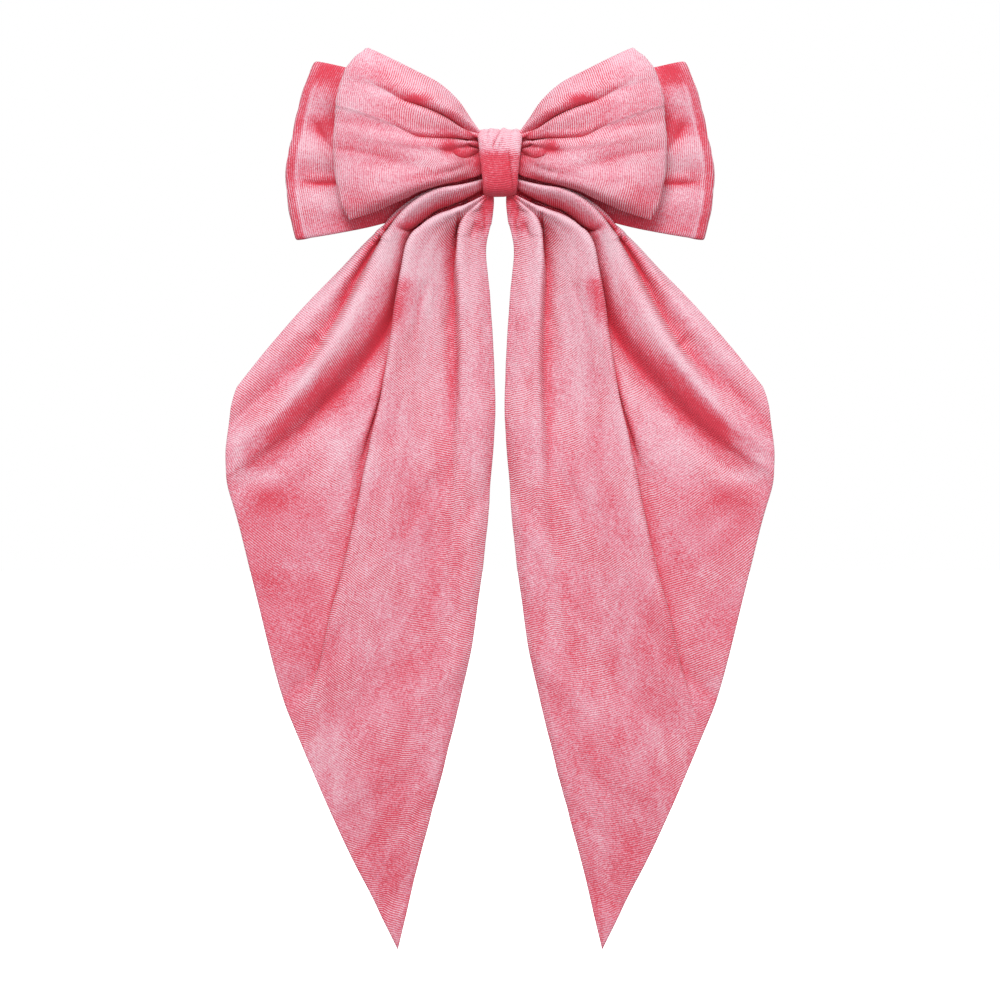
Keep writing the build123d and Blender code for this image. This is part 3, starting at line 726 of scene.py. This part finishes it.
def tail():
    """The left tail, from its gather in the knot to its slanted hem."""
    grid = facing_front(tail_grid())
    n = normals(grid)
    sink, shade = furrows(grid, TAIL_CREASES)
    grid = grid - n * sink[:, :, None]
    # Painted shade: hollows and the creases' shade deepen the colour, and crests come out paler.
    deep = np.clip(hollows(grid, n, reach=60, scale=2.2) + 0.5 * shade, -1, 1)
    z = grid[:, :, 2]
    # Painted highlights along the crests and painted shade on the long ridge's flank join the patches of nap
    # mottling, painted light and shade.
    nap = nap_and_painted_light(grid, TAIL_PATCHES) + 0.24 * strokes(grid, TAIL_CRESTS) - 0.62 * strokes(grid, [TAIL_FLANK])
    # Painted light from above: paler high up, deeper towards the tip.
    nap += 0.10 * smooth(-120, -30, z) - 0.06 * smooth(-120, -230, z)
    return Ribbon("left_tail_cloth", grid, thinned(smooth(2, 26, run_along(grid, 0))), deep, nap)


# ------------------------------------------------------------------ bow lobes

# Each rail of a left-hand lobe runs from the knot to the outer fold: its places, and how proud the cloth
# stands of the lobe's belly at each of them.
FRONT_LOBE = [
    # top edge
    ([(-3.3, 5.6), (-6.3, 10.0), (-10.0, 14.9), (-13.9, 20.4), (-19.9, 25.9), (-28.2, 30.5), (-36.5, 34.9),
     (-43.8, 38.2)], (0, -1, -3, -4.5, -5.5, -5.5, -4, -1)),
    # upper roll
    ([(-3.3, 5.3), (-6.3, 9.3), (-10.6, 13.6), (-16.6, 18.6), (-23.9, 23.6), (-32.2, 27.8), (-39.8, 31.5),
     (-47.8, 34.9)], (0, 0.2, 0, 0, -0.2, -0.8, -1, 0)),
    # lip of the deep fold
    ([(-3.3, 5.1), (-6.3, 9.3), (-11.3, 13.6), (-17.2, 17.4), (-23.9, 20.7), (-31.8, 23.8), (-40.5, 27.2),
     (-50.4, 31.2)], (0, 0.5, 0.8, 0.9, 0.9, 0.6, 0, 0)),
    # the deep fold's floor
    ([(-3.3, 4.6), (-6.3, 8.4), (-11.6, 11.7), (-17.9, 15.2), (-24.0, 18.0), (-31.0, 20.6), (-40.5, 25.0),
     (-51.8, 28.4)], (0, -0.6, -1.0, -1.2, -1.2, -0.5, -0.1, 0)),
    # below the fold
    ([(-3.3, 4.3), (-6.3, 7.9), (-12.1, 10.8), (-18.9, 14.0), (-26.0, 16.6), (-34.5, 19.6), (-43.5, 22.3),
     (-53.1, 24.0)], (0, 0.4, 0.6, 0.4, 0.4, 0.2, 0.2, 0)),
    # long crease
    ([(-3.3, 4.0), (-6.3, 7.2), (-12.6, 8.0), (-19.9, 8.6), (-28.2, 10.0), (-35.9, 12.6), (-44.5, 15.8),
     (-54.0, 18.6)], (0, -1.0, -1.2, -1.0, -0.8, -0.3, 0, 0)),
    # between the creases
    ([(-3.3, 3.7), (-6.3, 6.4), (-12.6, 6.6), (-19.9, 6.2), (-28.2, 6.9), (-36.5, 8.4), (-45.2, 10.6),
     (-54.4, 12.8)], (0, 0.4, 0.6, 0.6, 0.5, 0.3, 0.2, 0)),
    # short crease, ending in the dimple
    ([(-3.3, 3.3), (-6.3, 5.0), (-11.3, 5.2), (-16.6, 3.9), (-23.2, 3.6), (-33.2, 4.4), (-43.8, 5.4),
     (-54.7, 6.8)], (0, -1.0, -1.4, -2.2, -0.4, 0.1, 0.2, 0)),
    # roll under the dimple
    ([(-3.3, 2.7), (-6.3, 2.8), (-11.3, 1.2), (-17.3, -0.4), (-24.9, -0.9), (-34.2, -0.5), (-44.5, 0.1),
     (-54.4, 0.8)], (0, -0.6, 0.2, 0.5, 0.2, -0.3, -0.2, 0)),
    # lower belly
    ([(-3.3, 2.0), (-6.3, 0.9), (-12.0, -1.3), (-18.6, -3.0), (-26.6, -4.3), (-35.2, -5.3), (-44.5, -6.3),
     (-53.7, -6.4)], (0, 0.4, 0.4, 0.3, 0.3, 0.2, 0, 0)),
    # lower slope
    ([(-3.3, 1.3), (-6.3, -1.4), (-12.0, -3.4), (-18.6, -5.4), (-26.6, -7.6), (-34.5, -10.3), (-43.2, -13.0),
     (-51.9, -14.0)], (0, 0, -0.2, -0.4, -0.6, -0.8, -0.6, 0)),
    # bottom edge
    ([(-3.3, 0.7), (-6.3, -3.7), (-12.6, -5.6), (-19.3, -7.0), (-25.9, -9.0), (-33.2, -12.3), (-41.2, -15.9),
     (-49.8, -18.9)], (0, -0.6, -2.6, -4.6, -5.8, -6.0, -4.6, -1)),
]
FRONT_CREASES = [
    ([(-5.4, 6.8), (-8, 8.4), (-11.7, 10.9), (-15.5, 13.8), (-20.4, 16.8), (-26, 19), (-32.3, 20.9),
     (-38, 24)], 1.1, 0.6, 0.3, 0.35),
    ([(-5, 7), (-7.5, 7.4), (-14.7, 8.3), (-22.3, 8.5), (-27.6, 8.9), (-33, 11.6),
     (-41, 16.2)], 1.3, 0.6, 0.6, 0.6),
    ([(-5, 4.6), (-7.6, 4.9), (-9.6, 5.6), (-11.8, 7.1)], 0.9, 0.55, 0.4, 0.4),
    ([(-5, 3.9), (-8.4, 2.9), (-11, 1.9), (-13.2, 2.2), (-15.1, 3.0), (-17.0, 4.4)], 1.2, 0.65, 0.6, 0.3),
    ([(-54, 4.8), (-45, 3.2), (-36, 1.2), (-26, -1.8)], 0.35, 1.6, 0.1, 0.5),
    ([(-53, 13.5), (-45, 12.6), (-37, 9.8), (-31, 6.2)], 0.3, 1.8, 0.1, 0.5),
]
# A painted highlight along a crest, and patches of the nap's own mottling with painted shade in the dimple
# and the folds near the knot and painted highlights on the rolls.
FRONT_CRESTS = [([(-31.5, 20.4), (-36.5, 22.8), (-41.5, 25.8), (-48, 28.6)], 0.7, 0.3)]
FRONT_PATCHES = [
    (-17.2, 5.2, 2.6, 2.4, -0.85), (-11.5, 4.2, 3.6, 1.7, -0.40), (-9, 0.8, 5.0, 2.0, -0.35),
    (-28, 21.2, 5.0, 1.6, -0.90),
    (-17, 16.2, 4.0, 1.2, -0.25), (-33, 28.5, 14, 4.5, -0.15), (-21, 22.4, 7, 2.6, 0.04),
    (-26, -0.5, 7, 4, 0.12),
    (-37, 24.8, 5, 1.2, -0.16), (-30, -9.5, 10, 2.4, 0.06),
    (-45, 33, 6, 4, 0.12), (-48, -14, 8, 4, -0.16), (-38, 7, 14, 9, 0.05), (-50, 20, 6, 8, 0.04),
]
BACK_CREASES = [
    ([(-50, -6.6), (-58.8, -7.0), (-63.6, -6.6), (-67.6, -5.0)], 0.7, 0.9, 0.4, 0.45),
    ([(-54, 2.6), (-58.8, 9.0), (-61.4, 12.6), (-65.6, 12.6)], 0.6, 1.3, 0.3, 0.5),
]
# Patches of the nap's own mottling, with painted shade where the front lobe shades the back lobe and in its
# valleys, and painted highlights on its crests.
BACK_PATCHES = [
    (-59, 30.5, 9, 4.6, -0.86), (-58, 20, 4.6, 4.6, 0.10), (-58.4, 10.6, 3.6, 4.2, -0.45),
    (-63, 5.0, 3.6, 6.5, 0.24),
    (-57.5, -1.2, 4.5, 4.0, 0.34), (-60, -7.0, 9, 1.5, -0.40), (-59.5, -15, 7, 6, 0.16),
    (-54.6, 14, 1.6, 12, -0.30),
    (-44, -20, 9, 4, -0.42),
]
FRONT_BELLY_Y = (-17.2, -17.6, -20.4, -24.4, -26.6, -27.0, -25.6, -21.0)
FRONT_BACK_Y = (-19.0, -18.3, -17.8, -17.3, -16.8, -16.4)

BACK_LOBE = [
    # top edge
    ([(-3.3, 5.5), (-7, 10), (-16, 18), (-28, 24.5), (-40, 29), (-51.5, 31.8), (-60.8, 33.5)],
     (0, -0.3, -0.8, -1.2, -1.4, -1.2, 0)),
    ([(-3.3, 4.8), (-7, 8.5), (-18, 15), (-30, 20.5), (-42, 24.5), (-53, 27.2), (-62.9, 28.8)],
     (0, 0, 0.3, 0.3, 0.2, 0.1, 0)),
    # upper crest
    ([(-3.3, 4), (-7, 6.5), (-18, 11.5), (-30, 15.5), (-42, 18.5), (-54, 20.5), (-65.6, 21)],
     (0, 0.2, 0.6, 0.8, 0.8, 0.7, 0)),
    # upper hollow
    ([(-3.3, 3), (-7, 4.5), (-18, 8), (-30, 10.2), (-42, 11.5), (-55, 12.4), (-67.6, 12.8)],
     (0, -0.3, -1.0, -1.3, -1.4, -1.2, -0.3)),
    # middle crest
    ([(-3.3, 2), (-7, 2), (-18, 2.5), (-30, 2.8), (-42, 3), (-55, 3.2), (-69.6, 3)],
     (0, 0.2, 0.6, 0.8, 0.9, 0.9, 0)),
    # lower hollow
    ([(-3.3, 0), (-7, -1.5), (-18, -3), (-30, -4), (-42, -4.6), (-55, -4.8), (-70.4, -4.8)],
     (0, -0.3, -0.9, -1.2, -1.3, -1.3, -0.4)),
    # lower crest
    ([(-3.3, -2), (-7, -4), (-18, -8), (-30, -10.5), (-42, -12), (-55, -13), (-69.7, -13.5)],
     (0, 0.1, 0.4, 0.5, 0.6, 0.6, 0)),
    # bottom edge
    ([(-3.3, -4), (-7, -7.5), (-18, -13), (-30, -17.5), (-42, -21), (-55, -23.6), (-67.1, -25.6)],
     (0, -0.2, -0.6, -0.8, -0.8, -0.6, 0)),
]
BACK_BELLY_Y = (-9.8, -10.2, -11.6, -12.5, -12.6, -11.2, -6.6)
FRONT_MARKS = (FRONT_CREASES, FRONT_PATCHES, FRONT_CRESTS)
BACK_MARKS = (BACK_CREASES, BACK_PATCHES, [])
BACK_BACK_Y = (-4.6, -5.0, -5.9, -6.9, -7.8, -8.9)
LOBE_EACH, LOBE_ROWS = 11, 240


def lobe_rail(places, proud, belly, back, sag):
    """One XYZ rail of a lobe: out along its front, round the fold and home along its back, sag lower."""
    places = np.array(places, float)
    front = from_front(places, np.array(belly) - np.array(proud))
    share = np.linspace(0.035, 1, len(back))[:, None]
    home = places[-1] + (places[0] - places[-1]) * share
    home[:, 1] -= sag * np.sin(math.pi * share[:, 0]) ** 0.5
    return Rail(np.concatenate([front, from_front(home, back)]))


def lobe(name, table, belly, back, marks, seed, margin, lift):
    """A left-hand lobe of a bow.

    marks are its creases, patches and crests, margin is how wide the painted shade along its outer fold is,
    and lift is how much paler than usual its nap is.
    """
    rails = [lobe_rail(places, proud, belly, back, 0.6 * margin) for places, proud in table]
    rows = np.linspace(0, 1, LOBE_ROWS)
    grid = loft(rails, rows, LOBE_EACH, 0.98 * min(r.length for r in rails))
    n = normals(grid)
    along, across = run_along(grid, 0), run_along(grid, 1)
    loose = smooth(6, 22, np.minimum(along, along[-1:] - along))
    coarse = 0.22 * wander(across, along, 5.0, 26.0, seed)
    fine = 0.08 * wander(across, along, 2.4, 10.0, seed + 1)
    grid = grid + n * ((coarse + fine) * loose)[:, :, None]
    grid = facing_front(grid, slice(0, LOBE_ROWS // 3))
    n = normals(grid)
    deep = hollows(grid, n, reach=40, scale=1.5)
    creases, patches, crests = marks
    facing = smooth(0.56, 0.50, rows)[:, None]
    sink, shade = furrows(grid, creases)
    grid = grid - n * (sink * facing)[:, :, None]
    outer = np.min(grid[:, :, 0], axis=0)
    edge = grid[:, :, 0] - outer[None, :]
    # Painted shade along the outer fold, where the cloth turns away, with a painted highlight line just
    # inside it; the patches and crests add painted highlights and shade to the nap's own mottling.
    near = smooth(1.15 * margin, 0.8 * margin, edge) if margin else 0.0
    light_line = np.exp(-(((edge - 1.35 * margin) / 0.35) ** 2)) if margin else 0.0
    # Painted shade: hollows and the creases' shade deepen the colour, and crests come out paler.
    deep = np.clip(deep + 0.7 * shade * facing, -1, 1)
    nap = lift + (nap_and_painted_light(grid, patches) + 0.3 * strokes(grid, crests)) * facing + 0.22 * light_line
    nap = nap * (1 - near) - 0.42 * near
    run = run_along(grid, 0)
    return Ribbon(name, grid, thinned(smooth(3, 18, np.minimum(run, run[-1:] - run))), deep, nap)


# ------------------------------------------------------------------ knot

KNOT_SIDE = [
    (-5.6, 0), (-5.7, -3), (-6.4, -6.1), (-8.8, -8.8), (-12, -10.4), (-16, -10.7), (-19.4, -9.2), (-20.9, -5),
    (-21.1, 0),
    (-21.0, 4.5), (-19.8, 8.4), (-16.4, 10.4), (-12, 10.2), (-8.8, 8.6), (-6.4, 6.1), (-5.7, 3), (-5.6, 0),
]
# How wide half of its front is at each height, from the bottom up.
KNOT_HEIGHTS = (-10.8, -5, 0.7, 6, 10.5)
KNOT_HALF_WIDTHS = (5.5, 5.9, 6.5, 7.1, 7.6)
KNOT_BACK_HALF = 5.6
KNOT_ROWS, KNOT_COLUMNS = 190, 90


def knot():
    """The strap round the middle: a gathered band that narrows downwards, with two slanting creases."""
    side = np.array(KNOT_SIDE, float)
    knots = chord_knots(np.column_stack([side, np.zeros(len(side))]))
    rows = np.linspace(0, 1, KNOT_ROWS)
    ring = spline(side, knots, rows)
    share = np.linspace(-1, 1, KNOT_COLUMNS)
    share = np.sign(share) * (1 - (1 - np.abs(share)) ** 1.5)
    z = ring[:, 1][:, None]
    front = smooth(-11, -17, ring[:, 0])[:, None]
    width = np.interp(z, KNOT_HEIGHTS, KNOT_HALF_WIDTHS) * front + KNOT_BACK_HALF * (1 - front)
    x = share[None, :] * width
    grid = np.stack([x, np.broadcast_to(ring[:, :1], x.shape), np.broadcast_to(z, x.shape)], axis=2)
    middle = len(rows) // 2
    grid = facing_front(grid, slice(middle - 10, middle + 10))
    x = grid[:, :, 0]
    n = normals(grid)

    def crease(x0, z0, x1, z1, deep, wide):
        """The lift of a crease from one place to another, and of the roll on its right."""
        line = x0 + (x1 - x0) * np.clip((z - z0) / (z1 - z0), 0, 1)
        low, high = min(z0, z1), max(z0, z1)
        window = smooth(low - 2.5, low + 1, z) * smooth(high + 3, high, z)
        gap = x - line
        valley = np.exp(-((gap / wide) ** 2))
        roll = np.exp(-(((gap - 1.9 * wide) / (1.6 * wide)) ** 2))
        return window * front * (-deep * valley + 0.6 * deep * roll)

    lift = crease(0.4, 11, -2.3, 4.3, 0.8, 0.5) + crease(2.9, 1.6, 4.2, -8.6, 0.8, 0.5)
    lift += crease(-3.6, 12, -4.2, 7.5, 0.3, 0.5) + crease(4.3, 12, 3.8, 7.0, 0.3, 0.6)
    lift += 0.18 * wander(x + 30, rows[:, None] * 60 + 0 * x, 2.2, 11.0, 21) - 0.7 * np.abs(x / width) ** 5
    grid = grid + n * lift[:, :, None]
    grid[-1] = grid[0]
    n = normals(grid)
    # Painted shade in the strap's creases and highlights on their rolls come from this fold depth.
    deep = hollows(grid, n, reach=14, scale=0.45)
    height = grid[:, :, 2]
    # Painted light from above on the strap's front: paler towards the top and deeper towards the bottom, and
    # a paler stripe right of the middle that fades out low down.
    nap = (0.20 * smooth(1.5, 5.0, height) - 0.40 * smooth(4.5, 0.5, height)) * front
    nap = nap + 0.25 * np.exp(-(((grid[:, :, 0] - 5.2) / 1.2) ** 2)) * smooth(-6, -1, height) * front
    return Ribbon("knot_cloth", grid, np.full(grid.shape[:2], 0.5), deep, nap, ends=(False, False))


# ------------------------------------------------------------------ thread

PLY_RADIUS = 0.12


def tube(name, paths, closed):
    """Round threads along paths, as one mesh piece."""
    curve = bpy.data.curves.new(name, "CURVE")
    curve.dimensions = "3D"
    curve.bevel_depth = PLY_RADIUS * MM
    curve.bevel_resolution = 3
    curve.use_fill_caps = True
    for path in paths:
        line = curve.splines.new("POLY")
        line.points.add(len(path) - 1)
        for point, place in zip(line.points, path):
            point.co = (*[c * MM for c in place], 1)
        line.use_cyclic_u = closed
    drawn = bpy.data.objects.new(name + "_drawn", curve)
    bpy.context.scene.collection.objects.link(drawn)
    bpy.context.view_layer.update()
    mesh = bpy.data.meshes.new_from_object(drawn.evaluated_get(bpy.context.evaluated_depsgraph_get()))
    bpy.data.objects.remove(drawn)
    mesh.name = name
    mesh.shade_smooth()
    made = bpy.data.objects.new(name, mesh)
    bpy.context.scene.collection.objects.link(made)
    return made


def plied(path, apart, turns, closed=False):
    """Two strands twisted round a path of points."""
    path = np.asarray(path, float)
    tangent = np.gradient(path, axis=0)
    tangent /= np.linalg.norm(tangent, axis=1, keepdims=True)
    side = np.cross(tangent, [0.13, 0.4, 0.9])
    side /= np.linalg.norm(side, axis=1, keepdims=True)
    other = np.cross(tangent, side)
    angle = 2 * math.pi * turns * np.linspace(0, 1, len(path), endpoint=not closed)
    strands = []
    for start in (0, math.pi):
        turn = side * np.cos(angle + start)[:, None] + other * np.sin(angle + start)[:, None]
        strands.append(path + apart * turn)
    return strands


def knot_stitching():
    """Whip stitches over the strap's seam behind the plate, each a short arch of plied thread."""
    low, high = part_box("knot_stitches")
    strands = []
    rng = np.random.default_rng(8)
    y = high.y / MM - 0.2
    for i in range(5):
        x = (i - 2) * 2.0 + rng.uniform(-0.15, 0.15)
        lean = 0.45 + rng.uniform(-0.12, 0.12)
        u = np.linspace(-1, 1, 36)
        path = np.stack([x + lean * u, y + 0.12 - 0.75 * u**4, 1.3 * u], axis=1)
        strands += plied(path, apart=0.11, turns=3.5)
    return tube("knot_stitching", strands, closed=False)


def cinch(name, node, turns=4, points=110, pitch=0.55, inset=0.24, rounding=0.35):
    """The thread wound round a gathered middle: plied turns side by side, within its CAD rings."""
    low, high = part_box(node)
    middle = (low + high) / 2 / MM
    half_y, half_z = (high.y - low.y) / 2 / MM - inset, (high.z - low.z) / 2 / MM - inset
    strands = []
    for i in range(turns):
        angle = np.linspace(0, 2 * math.pi, points, endpoint=False)
        c, s = np.cos(angle), np.sin(angle)
        y = middle.y + half_y * np.sign(c) * np.abs(c) ** rounding
        z = middle.z + half_z * np.sign(s) * np.abs(s) ** rounding
        x = np.full(points, (i - (turns - 1) / 2) * pitch)
        strands += plied(np.stack([x, y, z], axis=1), apart=0.1, turns=16, closed=True)
    return tube(name, strands, closed=True)


# ------------------------------------------------------------------ assembly

VELVET = velvet("coral_velvet")
THREAD = thread("sewing_thread")
STEEL = nickel("nickel_plate", (0.78, 0.76, 0.72, 1), 0.16, 900.0)
SPRING = nickel("spring_strip", (0.66, 0.65, 0.63, 1), 0.24, 1400.0)
GLUE = hot_glue("hot_melt")


def settle(piece, material, slot, body, *nodes):
    """Gives a piece its material, and puts it in place of CAD nodes on a body. slot is not used."""
    piece.data.materials.clear()
    piece.data.materials.append(material)
    if body:
        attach(piece, body)
    if nodes:
        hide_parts(*nodes)
    return piece


strap = knot()
left = {
    "tail": tail(),
    "front": lobe("left_front_lobe", FRONT_LOBE, FRONT_BELLY_Y, FRONT_BACK_Y, FRONT_MARKS, 31, 0.0, 0.06),
    "back": lobe("left_back_lobe", BACK_LOBE, BACK_BELLY_Y, BACK_BACK_Y, BACK_MARKS, 47, 2.6, 0.02),
}
mirrors = [r.mirrored(r.name.replace("left", "right")) for r in left.values()]
shade_by_neighbours([strap, *left.values(), *mirrors])
right = {key: r.mirrored(r.name.replace("left", "right")) for key, r in left.items()}

for name, ribbons in (("left", left), ("right", right)):
    cloth = settle(velvet_mesh(ribbons["tail"]), VELVET, "velvet", None, f"{name}_tail", "tail_gather")
    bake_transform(cloth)
    front = settle(velvet_mesh(ribbons["front"]), VELVET, "velvet", "root", "front_bow")
    back = settle(velvet_mesh(ribbons["back"]), VELVET, "velvet", "root", "back_bow")

strap = settle(velvet_mesh(strap), VELVET, "velvet", "root", "knot_strap")

settle(knot_stitching(), THREAD, "thread", "root", "knot_stitches")
for node in ("front_bow_thread", "tail_thread", "back_bow_thread"):
    settle(cinch(node + "_plied", node), THREAD, "thread", "root", node)

CLIP = {
    STEEL: ("base_plate", "hinge_pin", "clasp_arm", "catch_base", "catch_rivet"),
    SPRING: ("tension_bar", "catch_wing_upper", "catch_wing_lower"),
    GLUE: ("glue_pad",),
}
for material, nodes in CLIP.items():
    for node in nodes:
        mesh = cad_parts[node].data
        mesh.materials.clear()
        mesh.materials.append(material)

# ------------------------------------------------------------------ studio


def area_light(name, place, target, size, power):
    """A round lamp that faces its target."""
    lamp = bpy.data.lights.new(name, "AREA")
    lamp.shape = "DISK"
    lamp.size = size
    lamp.energy = power
    thing = bpy.data.objects.new(name, lamp)
    thing.location = place
    direction = np.array(target) - np.array(place)
    pitch = math.atan2(math.hypot(direction[0], direction[1]), -direction[2])
    thing.rotation_euler = (pitch, 0, math.atan2(direction[1], direction[0]) - math.pi / 2)
    bpy.context.scene.collection.objects.link(thing)


def camera():
    lens = bpy.data.cameras.new("camera")
    lens.lens, lens.sensor_width = LENS, SENSOR
    lens.clip_start, lens.clip_end = 0.01, 20
    made = bpy.data.objects.new("camera", lens)
    made.location = (0, CAMERA_Y * MM, VIEW_MIDDLE_Z * MM)
    made.rotation_euler = (math.pi / 2, 0, 0)
    bpy.context.scene.collection.objects.link(made)
    bpy.context.scene.camera = made


def floor():
    """A white floor under the bow. It shows, but throws no light up into the folds."""
    reach, drop = 6.0, 0.03
    level = cad_box[0][2] - drop
    mesh = bpy.data.meshes.new("floor")
    corners = [(-reach, -reach, level), (reach, -reach, level), (reach, reach, level), (-reach, reach, level)]
    mesh.from_pydata(corners, [], [(0, 1, 2, 3)])
    mesh.materials.append(pale("floor", 0.75))
    made = bpy.data.objects.new("floor", mesh)
    made.visible_diffuse = False
    made.visible_glossy = False
    bpy.context.scene.collection.objects.link(made)


def sky():
    """White to the eye, dimmer as a light, and dimmest from below."""
    world = bpy.data.worlds.new("studio")
    world.use_nodes = True
    tree = world.node_tree
    coordinates = tree.nodes.new("ShaderNodeTexCoord")
    split = tree.nodes.new("ShaderNodeSeparateXYZ")
    tree.links.new(coordinates.outputs["Generated"], split.inputs[0])
    dim = tree.nodes.new("ShaderNodeMapRange")
    for label, value in (("From Min", -0.7), ("From Max", 0.8), ("To Min", 0.32), ("To Max", 0.755)):
        dim.inputs[label].default_value = value
    tree.links.new(split.outputs[2], dim.inputs[0])
    ray = tree.nodes.new("ShaderNodeLightPath")
    strength = tree.nodes.new("ShaderNodeMath")
    strength.operation = "MAXIMUM"
    tree.links.new(dim.outputs[0], strength.inputs[0])
    tree.links.new(ray.outputs["Is Camera Ray"], strength.inputs[1])
    background = tree.nodes["Background"]
    background.inputs[0].default_value = (1, 1, 1, 1)
    tree.links.new(strength.outputs[0], background.inputs[1])
    bpy.context.scene.world = world


def studio():
    camera()
    floor()
    sky()
    bpy.context.scene.view_settings.view_transform = "Standard"
    centre = (0, 0, VIEW_MIDDLE_Z * MM + 0.05)
    area_light("key", (-0.12, -1.0, 0.52), centre, 0.4, 7.4)
    area_light("fill", (0.35, -1.2, 0.0), centre, 0.9, 3.0)
    area_light("behind", (0.3, 1.1, 0.5), centre, 0.7, 9.0)


studio()
